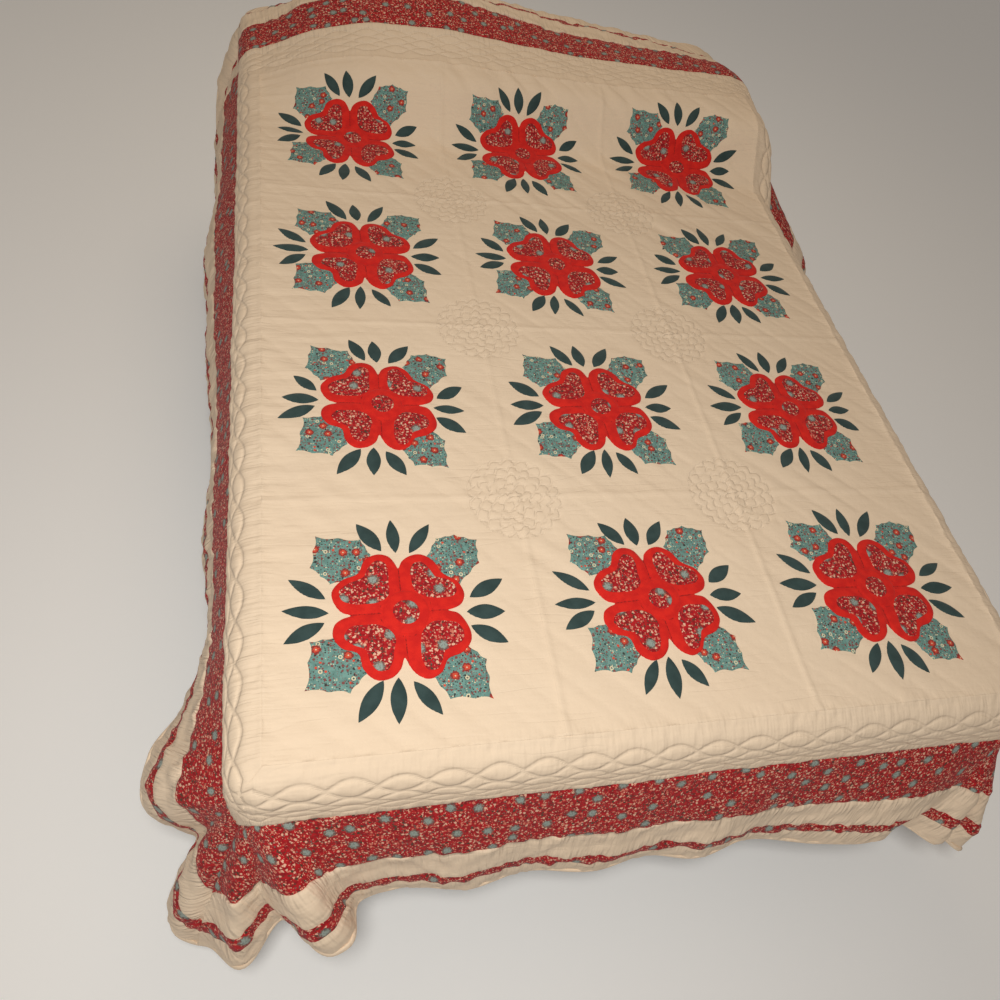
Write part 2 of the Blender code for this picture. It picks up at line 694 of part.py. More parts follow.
def plate(name, outlines, column, row, low, thick, slot):
    """flat applique piece on its block, following the field's own faces where the field rises"""
    degrees, scale = MOTIFS[row * COLUMNS + column]
    turn = np.radians(degrees)
    spin = np.array([[np.cos(turn), np.sin(turn)], [-np.sin(turn), np.cos(turn)]])
    middle = np.array([(column + 0.5) * BLOCK - FIELD_W, (row + 0.5) * BLOCK - FIELD_L])
    shapes = [o @ spin * BLOCK * scale + middle for o in outlines]
    points = [tuple(p) for shape in shapes for p in shape]
    edges = []
    first = 0
    for shape in shapes:
        count = len(shape)
        edges += [(first + k, first + (k + 1) % count) for k in range(count)]
        first += count
    slopes = row == ROWS - 1
    if slopes:
        reach = MOTIF_REACH * BLOCK
        us = FIELD_U[np.abs(FIELD_U - middle[0]) < reach]
        vs = FIELD_V[np.abs(FIELD_V - middle[1]) < reach]
        index = first + np.arange(len(us) * len(vs)).reshape(len(vs), len(us))
        points += [(float(u), float(v)) for v in vs for u in us]
        edges += list(zip(index[:, :-1].ravel(), index[:, 1:].ravel()))
        edges += list(zip(index[:-1].ravel(), index[1:].ravel()))
        edges += list(zip(index[:-1, :-1].ravel(), index[1:, 1:].ravel()))
    edges = [(int(a), int(b)) for a, b in edges]
    flat, _, cells = delaunay_2d_cdt(points, edges, [], 0, 1e-6, False)[:3]
    flat = np.array([tuple(p) for p in flat])
    cells = np.array([tuple(c) for c in cells])
    centre = flat[cells].mean(1)
    kept = np.zeros(len(cells), bool)
    for shape in shapes:
        kept |= inside(centre, shape)
    cells = cells[kept]
    used, cells = np.unique(cells, return_inverse=True)
    cells = cells.reshape(-1, 3)
    flat = flat[used]
    if slopes:
        base = on_field(flat[:, 0], flat[:, 1])
        lean = np.radians(SLOPE_LEAN)
        up = np.array([0.0, -np.sin(lean), np.cos(lean)])
    else:
        base = cloth(flat[:, 0], flat[:, 1]) + np.array([0, 0, THICK])
        up = np.array([0.0, 0.0, 1.0])
    count = len(flat)
    body = np.concatenate([base + up * (low + thick), base + up * low])
    body[:, 2] += BED_TOP
    pairs = np.concatenate([cells[:, [0, 1]], cells[:, [1, 2]], cells[:, [2, 0]]])
    back = {(int(b), int(a)) for a, b in pairs}
    rim = [(int(a), int(b)) for a, b in pairs if (int(a), int(b)) not in back]
    faces = [tuple(c) for c in cells] + [tuple(c[::-1] + count) for c in cells]
    faces += [(b, a, a + count, b + count) for a, b in rim]
    return mesh_object(name, body, faces, slot)


def box(name, low, high, slot, bevel=0.0, segments=3):
    """box between two corners, its edges rounded by a bevel"""
    low = np.array(low)
    high = np.array(high)
    corners = np.array([[x, y, z] for z in (0, 1) for y in (0, 1) for x in (0, 1)])
    faces = ((0, 2, 3, 1), (4, 5, 7, 6), (0, 1, 5, 4), (2, 6, 7, 3), (0, 4, 6, 2), (1, 3, 7, 5))
    obj = mesh_object(name, low + corners * (high - low), faces, slot)
    if bevel:
        edge = obj.modifiers.new("rounded", "BEVEL")
        edge.width = bevel
        edge.segments = segments
        edge.limit_method = "ANGLE"
    return obj


def leg(name, x, y):
    """tapered leg"""
    z = LEG_HIGH - PART_GAP
    half = np.array([LEG_FOOT / 2, LEG_TOP / 2])
    ring = np.array([[-1, -1], [1, -1], [1, 1], [-1, 1]])
    points = [(x + cx * h, y + cy * h, high) for h, high in zip(half, (0.0, z)) for cx, cy in ring]
    faces = [(3, 2, 1, 0), (4, 5, 6, 7)] + [(k, (k + 1) % 4, (k + 1) % 4 + 4, k + 4) for k in range(4)]
    return mesh_object(name, points, faces, "dark_wood")


def pillow(name, x0, x1):
    """pillow that fills the raised head of the quilt, a little clear of it"""
    columns, rows = PILLOW_CELLS
    x = np.linspace(x0, x1, columns + 1)
    v = np.linspace(PILLOW_FROM * BLOCK, FLAT_HEAD, FINE[0])
    top = np.zeros((rows + 1, columns + 1, 3))
    side = np.linspace(-1, 1, columns + 1)
    swell = (1 - np.abs(side) ** PILLOW_SQUARE) ** 0.5
    for k, place in enumerate(x):
        line = lying(np.clip(place, -FLAT_X, FLAT_X), v)
        height = line[:, 2] + TOP_CLEAR - PILLOW_CLEAR
        crest = np.argmax(height)
        front = np.interp(PILLOW_FRONT, height[:crest], line[:crest, 1])
        back = line[-1, 1]
        share = 0.5 - 0.5 * np.cos(np.linspace(0, np.pi, rows + 1))
        y = front + (back - front) * share
        allowed = np.interp(y, line[:, 1], height)
        end = np.clip(1 - np.abs(2 * share - 1) ** PILLOW_BLUNT, 0, 1) ** 0.5
        top[:, k, 0] = place
        top[:, k, 1] = y
        top[:, k, 2] = PILLOW_RIM + (allowed - PILLOW_RIM) * np.minimum(end, swell[k])
    under = top.copy()
    under[..., 2] = PART_GAP
    return slab(name, top, under, "pillow_cotton", flat_under=True)


def build_bed():
    """legs, rails, foundation, mattress and pillows"""
    half = MATTRESS_HALF - FOUNDATION_IN
    foot = FOOT_Y + FOUNDATION_IN
    head = HEAD_Y - FOUNDATION_IN
    z0 = LEG_HIGH
    z1 = z0 + RAIL_DEEP
    box("foot_rail", (-half, foot, z0), (half, foot + RAIL_WIDE, z1), "dark_wood", RAIL_ROUND, 1)
    box("head_rail", (-half, head - RAIL_WIDE, z0), (half, head, z1), "dark_wood", RAIL_ROUND, 1)
    near = foot + RAIL_WIDE + PART_GAP
    far = head - RAIL_WIDE - PART_GAP
    box("left_rail", (-half, near, z0), (-half + RAIL_WIDE, far, z1), "dark_wood", RAIL_ROUND, 1)
    box("right_rail", (half - RAIL_WIDE, near, z0), (half, far, z1), "dark_wood", RAIL_ROUND, 1)
    leg_in = LEG_TOP / 2 + LEG_IN
    for row, y in (("foot", foot + leg_in), ("head", head - leg_in)):
        for side, x in (("left", leg_in - half), ("right", half - leg_in)):
            leg(f"leg_{row}_{side}", x, y)
    z1 += PART_GAP
    z2 = z1 + FOUNDATION_DEEP
    box("foundation", (-half, foot, z1), (half, head, z2), "foundation_cloth", FOUNDATION_ROUND, 2)
    low = (-MATTRESS_HALF, FOOT_Y, z2 + PART_GAP)
    box("mattress", low, (MATTRESS_HALF, HEAD_Y, BED_TOP), "mattress_ticking", EDGE_ROUND, 3)
    pillow("pillow_left", PILLOW_LEFT * BLOCK, -PILLOW_SPLIT / 2)
    pillow("pillow_right", PILLOW_SPLIT / 2, FLAT_X)


def build_quilt():
    """field, borders, binding and the applique motifs"""
    field = slab("field", inset(FIELD_TOP), inset(FIELD_UNDER), "cream_cotton")
    level_under(field)
    build_borders()
    for row in range(ROWS):
        for column in range(COLUMNS):
            place = f"{row + 1}_{column + 1}"
            plate(f"leaves_{place}", leaf_outlines(), column, row, SHEET_GAP, LEAF_THICK, "teal_calico")
            low = 2 * SHEET_GAP + LEAF_THICK
            plate(f"flower_{place}", flower_outline(), column, row, low, FLOWER_THICK, "red_cotton")


def centre_all():
    """put the middle of the whole plan on the origin"""
    bpy.context.view_layer.update()
    corners = np.concatenate([np.array([o.matrix_world @ v.co for v in o.data.vertices]) for o in PARTS.objects])
    middle = (corners.min(0) + corners.max(0)) / 2
    for obj in PARTS.objects:
        for v in obj.data.vertices:
            v.co.x -= middle[0]
            v.co.y -= middle[1]


for old in list(bpy.data.objects):
    bpy.data.objects.remove(old, do_unlink=True)
PARTS = bpy.data.collections.new(COLLECTION)
bpy.context.scene.collection.children.link(PARTS)
build_bed()
build_quilt()
centre_all()
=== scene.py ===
"""Applique quilt draped over a double bed: finished pieces, materials, light and camera.

Lengths are metres and +Z is up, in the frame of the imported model. The quilt is worked out as flat cloth, in
points (u, v) from the middle of its twelve blocks, and each point is then laid over the bed.
"""

from __future__ import annotations

import logging
import math
from dataclasses import dataclass, field
from enum import Enum

import bpy
import numpy as np
from mathutils import Matrix, Vector

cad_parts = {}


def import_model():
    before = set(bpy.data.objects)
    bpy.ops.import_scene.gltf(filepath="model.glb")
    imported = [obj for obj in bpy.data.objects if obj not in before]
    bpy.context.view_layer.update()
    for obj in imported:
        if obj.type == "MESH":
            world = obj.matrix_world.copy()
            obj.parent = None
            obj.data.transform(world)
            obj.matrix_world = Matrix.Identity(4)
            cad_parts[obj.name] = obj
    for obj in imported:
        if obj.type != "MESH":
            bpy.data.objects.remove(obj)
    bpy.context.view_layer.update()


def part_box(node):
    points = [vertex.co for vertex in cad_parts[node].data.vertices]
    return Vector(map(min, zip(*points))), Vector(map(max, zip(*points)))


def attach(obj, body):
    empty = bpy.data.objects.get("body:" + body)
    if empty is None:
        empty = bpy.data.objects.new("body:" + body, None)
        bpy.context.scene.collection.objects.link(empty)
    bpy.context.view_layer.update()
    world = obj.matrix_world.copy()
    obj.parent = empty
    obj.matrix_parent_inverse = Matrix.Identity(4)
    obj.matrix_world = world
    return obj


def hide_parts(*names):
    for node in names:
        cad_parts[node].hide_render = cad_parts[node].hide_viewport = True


LOG = logging.getLogger("quilt")
Array = np.ndarray
Pair = tuple[float, float]
Triple = tuple[float, float, float]
Socket = bpy.types.NodeSocket
Material = bpy.types.Material
BODY = "root"
FLAT_MAP = "flat"
MARK = "mark"
# mark of a quilted piece's under-face, where the cloth is plain; the marks of its face are at most 1
BACK = 2.0
CREAM_DYE = (0.890, 0.725, 0.555)


class Side(Enum):
    """The four sides of the bed."""

    FOOT = "foot"
    RIGHT = "right"
    HEAD = "head"
    LEFT = "left"


class Slot(Enum):
    """The material slots."""

    CREAM = "cream_cotton"
    RED_PRINT = "red_calico"
    RED = "red_cotton"
    TEAL = "teal_calico"
    TICKING = "mattress_ticking"
    PILLOW = "pillow_cotton"


class Part(Enum):
    """The parts of a block's applique, each by the name of its piece."""

    LEAVES = "leaf_patches"
    FLOWER = "flower_patch"
    HEARTS = "heart_patches"
    CENTRE = "centre_patch"
    CENTRE_PRINT = "centre_print"
    BLADES = "blade_patches"


# the parts that have a solid of their own, which they replace
REPLACED = {Part.LEAVES: "leaves", Part.FLOWER: "flower"}


@dataclass(frozen=True)
class FlatQuilt:
    """Sizes of the quilt as it is sewn, before it is laid on the bed."""

    block: float = 0.419
    columns: int = 3
    rows: int = 4
    thick: float = 0.005
    inner_border: float = 0.128
    wide_red: float = 0.117
    cream_strip: float = 0.068
    narrow_red: float = 0.026
    outer_cream: float = 0.045
    binding: float = 0.008

    @property
    def field_w(self) -> float:
        """Half the width of the twelve blocks."""
        return self.columns * self.block / 2

    @property
    def field_l(self) -> float:
        """Half the length of the twelve blocks."""
        return self.rows * self.block / 2

    @property
    def borders(self) -> float:
        """Width of all the borders on one side."""
        inner = self.inner_border + self.wide_red + self.cream_strip
        return inner + self.narrow_red + self.outer_cream + self.binding

    @property
    def red_seam(self) -> float:
        """Distance from the hem of the seam between the wide red and the inner border."""
        return self.borders - self.inner_border

    @property
    def seams(self) -> Array:
        """Distances from the hem of all the borders' seams, from the binding's to the field's."""
        outer = (self.binding, self.outer_cream, self.narrow_red, self.cream_strip)
        return np.cumsum((*outer, self.wide_red, self.inner_border))

    @property
    def half_w(self) -> float:
        """Half the width of the quilt."""
        return self.field_w + self.borders

    @property
    def half_l(self) -> float:
        """Half the length of the quilt."""
        return self.field_l + self.borders

    @property
    def turn(self) -> float:
        """Length of the hem all round."""
        return 4 * self.half_w + 4 * self.half_l

    def from_hem(self, u: Array, v: Array) -> Array:
        """Distance of flat points from the nearest hem."""
        return np.minimum(self.half_w - np.abs(u), self.half_l - np.abs(v))


# corners of a rectangle about its middle, counter-clockwise
CORNERS = ((-1, -1), (1, -1), (1, 1), (-1, 1))

# rise of the cloth over the pillows, across the bed:
# blocks from the middle, blocks at which it starts, share of the height, crest degrees, fall degrees
FRONT = (
    (-1.62, 1.66, 0.00, 0.0, -12.0), (-1.42, 1.60, 0.22, 2.0, -14.0), (-1.20, 1.57, 0.62, 6.0, -18.0),
    (-0.90, 1.53, 0.96, 11.0, -24.0), (-0.45, 1.52, 1.04, 13.0, -22.0), (0.10, 1.55, 0.98, 4.0, -6.0),
    (0.35, 1.53, 0.94, 0.0, 0.0), (0.80, 1.53, 1.00, -4.0, -4.0), (1.20, 1.46, 1.06, -5.0, -12.0),
    (1.45, 1.38, 1.08, -4.0, -18.0), (1.62, 1.34, 1.02, -2.0, -18.0),
)
# blocks of cloth past the start, slope in degrees
RISE = ((-0.08, 0), (0.06, 38), (0.18, 52), (0.28, 48), (0.40, 14), (0.52, 2), (1.04, 1), (1.12, 0))
# blocks of cloth past the start, share of the crest or fall slope
CREST = ((0.45, 0.0), (0.70, 1.0), (1.04, 1.0), (1.10, 0.0))
FALL = ((1.04, 0.0), (1.12, 1.0))

# side or corner of the hem: place along it (degrees round a corner), even stand-out
FLARE = (
    ("foot", (-0.60, 0.075), (0.60, 0.080)),
    ("foot_right", (45.0, 0.070)),
    ("right", (-0.70, 0.050), (0.20, 0.045), (0.50, 0.110), (0.85, 0.080)),
    ("head_right", (45.0, 0.040)),
    ("head", (0.50, 0.025), (-0.50, 0.025)),
    ("head_left", (45.0, 0.040)),
    ("left", (0.85, 0.100), (0.25, 0.110), (0.00, 0.065), (-0.70, 0.050)),
    ("foot_left", (45.0, 0.075)),
)
# side or corner of the hem: place along it, stand-out of a fold, share of the drop where it opens if unusual
FOLDS = (
    ("foot", (-0.530, 0.152), (-0.513, 0.146), (-0.492, 0.078), (-0.425, 0.062), (-0.300, 0.078),
     (-0.215, 0.062), (-0.080, 0.078), (0.020, 0.064), (0.110, 0.082), (0.220, 0.062), (0.360, 0.090),
     (0.470, 0.100), (0.540, 0.075), (0.610, 0.120)),
    ("foot_right", (5.0, 0.080), (25.0, 0.150), (48.0, 0.100), (70.0, 0.150), (92.0, 0.064)),
    ("right", (-0.770, 0.135), (-0.680, 0.060), (-0.600, 0.050), (-0.400, 0.065), (-0.150, 0.045),
     (0.150, 0.060, 0.30), (0.340, 0.080, 0.18), (0.500, 0.210, 0.06), (0.640, 0.110, 0.10),
     (0.800, 0.160, 0.06), (0.950, 0.085, 0.12)),
    ("head_right", (45.0, 0.110)),
    ("head", (0.450, 0.030), (0.200, 0.040), (-0.050, 0.025), (-0.300, 0.040), (-0.500, 0.030)),
    ("head_left", (45.0, 0.070)),
    ("left", (0.900, 0.070), (0.700, 0.060), (0.500, 0.085), (0.330, 0.072), (0.150, 0.068), (-0.050, 0.054),
     (-0.280, 0.064), (-0.480, 0.050), (-0.630, 0.094), (-0.700, 0.130), (-0.775, 0.140)),
    ("foot_left", (-5.0, 0.060), (18.0, 0.105), (37.0, 0.140), (55.0, 0.120), (76.0, 0.142)),
    ("foot", (-0.610, 0.078)),
)
# places where a point of the hem is known to hang straight below its point of the flat edge
PINS = (
    ("foot", (0.10,), (-0.10,)),
    ("right", (-0.15,), (0.15,)),
    ("head", (0.15,), (-0.15,)),
    ("left", (0.15,), (-0.10,)),
)


def each_place(table: tuple) -> list[tuple]:
    """The places of a table that has a row for each side, one a row with its side first."""
    return [(side, *place) for side, *places in table for place in places]


def column_of(table: tuple, index: int) -> Array:
    """One column of a table as an array."""
    return np.array([row[index] for row in table], float)


def bell(distance: Array, width: float) -> Array:
    """Bell curve: 1 where the distance is nothing, and about a third of that a width away."""
    return np.exp(-((distance / width) ** 2))


def unit(vectors: Array) -> Array:
    """Vectors divided by their lengths."""
    return vectors / np.linalg.norm(vectors, axis=-1)[..., None]


def rimmed(start: float, end: float, cells: int, rim: float) -> Array:
    """Evenly spaced values from start to end, with the first and last cell cut down to a narrow rim.

    The narrow cells keep a slab's top flat up to its walls, so that neighbours shade as one cloth at a seam.
    """
    inner = np.linspace(start, end, cells - 1)[1:-1]
    return np.concatenate([[start, start + rim], inner, [end - rim, end]])


def closed_curve(points: Array, cells: int) -> Array:
    """Smooth closed curve through points.

    Each span is a cubic with the tangents of the chords before and after, weighted by their lengths.

    Args:
        points: corners of the curve, one a row.
        cells: points made for each span.

    Returns:
        Points of the curve, the first one not repeated.
    """
    here = np.asarray(points, float)
    ahead = np.roll(here, -1, 0)
    behind = np.roll(here, 1, 0)
    d1 = np.linalg.norm(ahead - here, axis=1)[:, None]
    d0 = np.linalg.norm(here - behind, axis=1)[:, None]
    tangent = ((here - behind) / d0 * d1 + (ahead - here) / d1 * d0) / (d0 + d1)
    t = np.linspace(0, 1, cells, endpoint=False)[None, :, None]
    leave = (tangent * d1)[:, None]
    arrive = (np.roll(tangent, -1, 0) * d1)[:, None]
    curve = here[:, None] * (2 * t**3 - 3 * t**2 + 1) + ahead[:, None] * (3 * t**2 - 2 * t**3)
    return (curve + leave * (t**3 - 2 * t**2 + t) + arrive * (t**3 - t**2)).reshape(-1, here.shape[1])


def blend(table: Array, row: Array, column: Array) -> Array:
    """Values between the entries of a table, straight along its rows and columns; an entry may be a point."""
    i = np.clip(row.astype(int), 0, table.shape[0] - 2)
    j = np.clip(column.astype(int), 0, table.shape[1] - 2)
    spread = (..., *[None] * (table.ndim - 2))
    a, b = (row - i)[spread], (column - j)[spread]
    near = table[i, j] * (1 - b) + table[i, j + 1] * b
    far = table[i + 1, j] * (1 - b) + table[i + 1, j + 1] * b
    return near * (1 - a) + far * a


def soft_noise(u: Array, v: Array, size: Pair, turn: float = 0.0, seed: int = 1) -> Array:
    """Smooth noise from -1 to 1: a lattice of random numbers joined by quintic steps.

    Args:
        u: first coordinates.
        v: second coordinates.
        size: lattice spacing along and across the turned direction.
        turn: degrees by which the lattice is turned.
        seed: number that fixes the lattice.

    Returns:
        The noise at each point.
    """
    count = 128
    c, s = math.cos(math.radians(turn)), math.sin(math.radians(turn))
    x = (u * c + v * s) / size[0] + 4.0 * count
    y = (v * c - u * s) / size[1] + 4.0 * count
    table = np.random.default_rng(seed).uniform(-1, 1, (count, count))
    i, j = np.floor(x).astype(int), np.floor(y).astype(int)
    a, b = x - i, y - j
    a = a**3 * (a * (6 * a - 15) + 10)
    b = b**3 * (b * (6 * b - 15) + 10)
    i0, j0, i1, j1 = i % count, j % count, (i + 1) % count, (j + 1) % count
    near = table[i0, j0] * (1 - a) + table[i1, j0] * a
    far = table[i0, j1] * (1 - a) + table[i1, j1] * a
    return near * (1 - b) + far * b


@dataclass
class Drape:
    """Fall of the cloth over the bed: flat points in, points of the quilt out.

    The lying cloth is a profile along the bed, different across it, whose slope is a table of angles. The
    hanging cloth leaves the edge over a quarter round and opens into the folds of the hem; its drop is what
    is left of each step of cloth after its run outward.
    """

    quilt: FlatQuilt
    mattress_half: float = 0.674
    foot_y: float = -0.876
    side_clear: float = 0.004
    top_clear: float = 0.0005
    bend: float = 0.052
    head_edge: float = 2.72
    ease: float = 0.10
    ease_steps: int = 9
    flare_from: float = 0.343
    opens: float = 0.34
    fold_power: float = 1.05
    least_drop: float = 0.12
    pin_out: float = 0.05
    normal_step: float = 0.008
    fold_cells: int = 60
    runs: int = 7200
    drops: int = 201
    across_cells: int = 180
    along_cells: int = 1400

    def __post_init__(self) -> None:
        """Take the place of the bed and work out the tables of the lying and the hanging cloth."""
        low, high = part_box("mattress")
        self.origin = np.array([(low[0] + high[0]) / 2, low[1] - self.foot_y, high[2]])
        self.wall_x = self.mattress_half + self.side_clear
        self.wall_foot = self.foot_y - self.side_clear
        self.flat_x = self.wall_x - self.bend
        self.flat_foot = -self.wall_foot - self.bend
        self.flat_head = self.head_edge * self.quilt.block
        self.u_fine = np.linspace(-self.flat_x, self.flat_x, self.across_cells + 1)
        self.v_fine = np.linspace(-self.flat_foot, self.quilt.half_l, self.along_cells + 1)
        self.rise_y, self.rise_z = self.rise_profile()
        half_w, half_l = self.quilt.half_w, self.quilt.half_l
        self.corners = {
            "foot_left": (-self.flat_x, -self.flat_foot, 180.0, 3 * half_w + 4 * half_l),
            "foot_right": (self.flat_x, -self.flat_foot, 270.0, half_w),
            "head_right": (self.flat_x, self.head_line(self.flat_x), 0.0, half_w + 2 * half_l),
            "head_left": (-self.flat_x, self.head_line(-self.flat_x), 90.0, 3 * half_w + 2 * half_l),
        }
        self.hanging = self.hanging_table()

    def eased(self, x: Array, index: int) -> Array:
        """A column of FRONT across the bed, its corners eased."""
        shifts = np.linspace(-self.ease, self.ease, self.ease_steps) * self.quilt.block
        at = column_of(FRONT, 0) * self.quilt.block
        return sum(np.interp(x + s, at, column_of(FRONT, index)) for s in shifts) / len(shifts)

    def rise_profile(self) -> tuple[Array, Array]:
        """Place along the bed and height of the fine grid of lying cloth, summed from the slopes."""
        past = (self.v_fine[:, None] - self.eased(self.u_fine, 1)[None] * self.quilt.block) / self.quilt.block
        slope = sum(
            np.interp(past, column_of(table, 0), column_of(table, 1)) * self.eased(self.u_fine, index)[None]
            for index, table in enumerate((RISE, CREST, FALL), 2)
        )
        step = np.diff(self.v_fine, prepend=self.v_fine[0])[:, None]
        angle = np.radians(slope)
        return self.v_fine[0] + np.cumsum(step * np.cos(angle), 0), np.cumsum(step * np.sin(angle), 0)

    def edge(self, u: Array, v: Array) -> tuple[Array, Array]:
        """Nearest flat points of the cloth that lies."""
        return np.clip(u, -self.flat_x, self.flat_x), np.clip(v, -self.flat_foot, self.flat_head)

    def lying(self, u: Array, v: Array) -> Array:
        """Points of the cloth that lies on the mattress and the pillows."""
        u, v = np.broadcast_arrays(np.asarray(u, float), np.asarray(v, float))
        column = np.clip((u + self.flat_x) / (2 * self.flat_x), 0, 1) * self.across_cells
        span = self.v_fine[-1] - self.v_fine[0]
        row = np.clip((v - self.v_fine[0]) / span, 0, 1) * self.along_cells
        return np.stack([u, blend(self.rise_y, row, column), blend(self.rise_z, row, column)], -1)

    def head_line(self, x: float) -> float:
        """Plan line that the cloth turns down over at the head."""
        return float(self.lying(np.clip(x, -self.flat_x, self.flat_x), self.flat_head)[..., 1])

    def run_at(self, side: str, along: float) -> float:
        """Run round the flat hem, from the middle of the foot, of a place on a side or a corner."""
        half_w, half_l = self.quilt.half_w, self.quilt.half_l
        if side in self.corners:
            return self.corners[side][3]
        return {
            "foot": along % self.quilt.turn,
            "right": half_w + half_l + along,
            "head": 2 * half_w + 2 * half_l - along,
            "left": 3 * half_w + 3 * half_l - along,
        }[side]

    def fold_point(self, side: str, along: float, out: float) -> Pair:
        """Plan point of the hem."""
        if side in self.corners:
            x, y, first, _ = self.corners[side]
            angle = math.radians(first + along)
            return x + (self.bend + out) * math.cos(angle), y + (self.bend + out) * math.sin(angle)
        return {
            "foot": (along, self.wall_foot - out),
            "head": (along, self.head_line(along) + self.bend + out),
            "left": (-self.wall_x - out, along),
            "right": (self.wall_x + out, along),
        }[side]

    def hem_points(self) -> tuple[Array, Array, Array]:
        """Runs round the hem, its plan points, and the share of the drop where each opens.

        The folds' points are joined by a smooth closed curve. The pinned places tie the run round the flat
        hem to the way round that curve, and between them one is stretched evenly over the other.
        """
        folds = each_place(FOLDS)
        curve = closed_curve([self.fold_point(*row[:3]) for row in folds], self.fold_cells)
        opens = [row[3] if len(row) > 3 else self.opens for row in (*folds, folds[0])]
        opens = np.interp(np.arange(len(curve) + 1) / self.fold_cells, np.arange(len(opens)), opens)
        closed = np.vstack([curve, curve[:1]])
        arc = np.append(0, np.cumsum(np.linalg.norm(np.diff(closed, axis=0), axis=1)))
        pins = []
        for side, along in each_place(PINS):
            away = closed - self.fold_point(side, along, self.pin_out)
            pins.append((arc[np.argmin(np.hypot(*away.T))], self.run_at(side, along)))
        first_arc, first_run = pins[0]
        turn = self.quilt.turn
        known = sorted(((a - first_arc) % arc[-1], (r - first_run) % turn) for a, r in pins)
        known = np.array([*known, (arc[-1], turn)])
        runs = np.linspace(0, turn, self.runs, endpoint=False)
        where = np.interp((runs - first_run) % turn, known[:, 1], known[:, 0])
        where = (where + first_arc) % arc[-1]
        plan = np.stack([np.interp(where, arc, closed[:, 0]), np.interp(where, arc, closed[:, 1])], -1)
        return runs, plan, np.interp(where, arc, opens)

    def flat_edge(self, run: Array) -> tuple[Array, Array]:
        """Flat point of the hem at a run round it."""
        w, l = self.quilt.half_w, self.quilt.half_l
        ends = np.cumsum([0, w, 2 * l, 2 * w, 2 * l, w])
        return np.interp(run, ends, [0, w, w, -w, -w, 0]), np.interp(run, ends, [-l, -l, l, l, -l, -l])

    def hanging_table(self) -> Array:
        """Points beyond the bed's edge: a row for each share of the drop, a column for each run.

        The first column is repeated as the last, which closes the ring.
        """
        runs, hem, opens = self.hem_points()
        u, v = self.flat_edge(runs)
        edge_u, edge_v = self.edge(u, v)
        start = self.lying(edge_u, edge_v)
        line = np.stack([u - edge_u, v - edge_v], -1)
        length = np.linalg.norm(line, axis=-1)
        line = line / length[:, None]
        order = sorted((self.run_at(side, along), out) for side, along, out in each_place(FLARE))
        even = np.interp(runs, column_of(order, 0), column_of(order, 1), period=self.quilt.turn)
        base = line * even[:, None]
        fold = hem - start[:, :2] - line * self.bend - base
        share = np.linspace(0, 1, self.drops)[:, None]
        cloth = share * length[None]
        roll = self.bend * np.sin(np.minimum(cloth / self.bend, np.pi / 2))
        base_share = np.sin(np.clip((share - self.flare_from) / (1 - self.flare_from), 0, 1) * np.pi / 2)
        fold_share = np.clip((share - opens) / (1 - opens), 0, 1) ** self.fold_power
        plan = start[None, :, :2] + line[None] * roll[..., None]
        plan = plan + base[None] * base_share[..., None] + fold[None] * fold_share[..., None]
        across = np.linalg.norm(np.diff(plan, axis=0), axis=-1)
        step = np.diff(cloth, axis=0)
        down = np.sqrt(np.maximum(step**2 - across**2, (self.least_drop * step) ** 2))
        z = start[None, :, 2] - np.vstack([np.zeros(len(runs)), np.cumsum(down, 0)])
        table = np.concatenate([plan, z[..., None]], -1)
        return np.concatenate([table, table[:, :1]], 1)

    def cloth(self, u: Array, v: Array) -> Array:
        """Under-face of the quilt at flat points, in the frame."""
        u, v = np.broadcast_arrays(np.asarray(u, float), np.asarray(v, float))
        half_w, half_l, tiny = self.quilt.half_w, self.quilt.half_l, 1e-7
        edge_u, edge_v = self.edge(u, v)
        du, dv = u - edge_u, v - edge_v
        reach = np.where(dv < 0, half_l - self.flat_foot, half_l - self.flat_head)
        drop = np.maximum(np.abs(du) / (half_w - self.flat_x), np.abs(dv) / reach)
        hem_u = edge_u + du / np.maximum(drop, 1e-12)
        hem_v = edge_v + dv / np.maximum(drop, 1e-12)
        run = 3 * half_w + 3 * half_l - hem_v
        run = np.where(hem_v >= half_l - tiny, 2 * half_w + 2 * half_l - hem_u, run)
        run = np.where(hem_u >= half_w - tiny, half_w + half_l + hem_v, run)
        run = np.where(hem_v <= -half_l + tiny, hem_u, run) % self.quilt.turn
        hung = blend(self.hanging, np.clip(drop, 0, 1) * (self.drops - 1), run / self.quilt.turn * self.runs)
        flat = (drop <= 1e-9)[..., None]
        return np.where(flat, self.lying(u, v), hung) + self.origin + np.array([0, 0, self.top_clear])

    def normal(self, u: Array, v: Array) -> Array:
        """Direction out of the cloth, across its steps along u and v."""
        s, w, l = self.normal_step, self.quilt.half_w, self.quilt.half_l
        along_u = self.cloth(np.clip(u + s, -w, w), v) - self.cloth(np.clip(u - s, -w, w), v)
        along_v = self.cloth(u, np.clip(v + s, -l, l)) - self.cloth(u, np.clip(v - s, -l, l))
        return unit(np.cross(along_u, along_v))

    def raised(self, u: Array, v: Array, height: Array) -> Array:
        """Points at a height over the under-face."""
        return self.cloth(u, v) + self.normal(u, v) * np.asarray(height)[..., None]


# corners of the flower's outline; here and below in thousandths of a block, from the middle of its disc
FLOWER = (
    (158, 2), (182, 10), (210, 26), (228, 66), (212, 116), (150, 160), (124, 208), (78, 240), (34, 234),
    (4, 212), (-12, 184), (-22, 206), (-44, 238), (-84, 250), (-136, 226), (-164, 174), (-228, 146),
    (-264, 98), (-250, 40), (-228, 14), (-200, 0), (-226, -10), (-254, -30), (-264, -72), (-238, -124),
    (-180, -150), (-168, -206), (-122, -250), (-70, -242), (-38, -212), (-22, -174), (-8, -206), (16, -238),
    (52, -256), (100, -240), (132, -190), (190, -168), (228, -118), (218, -50), (190, -10),
)
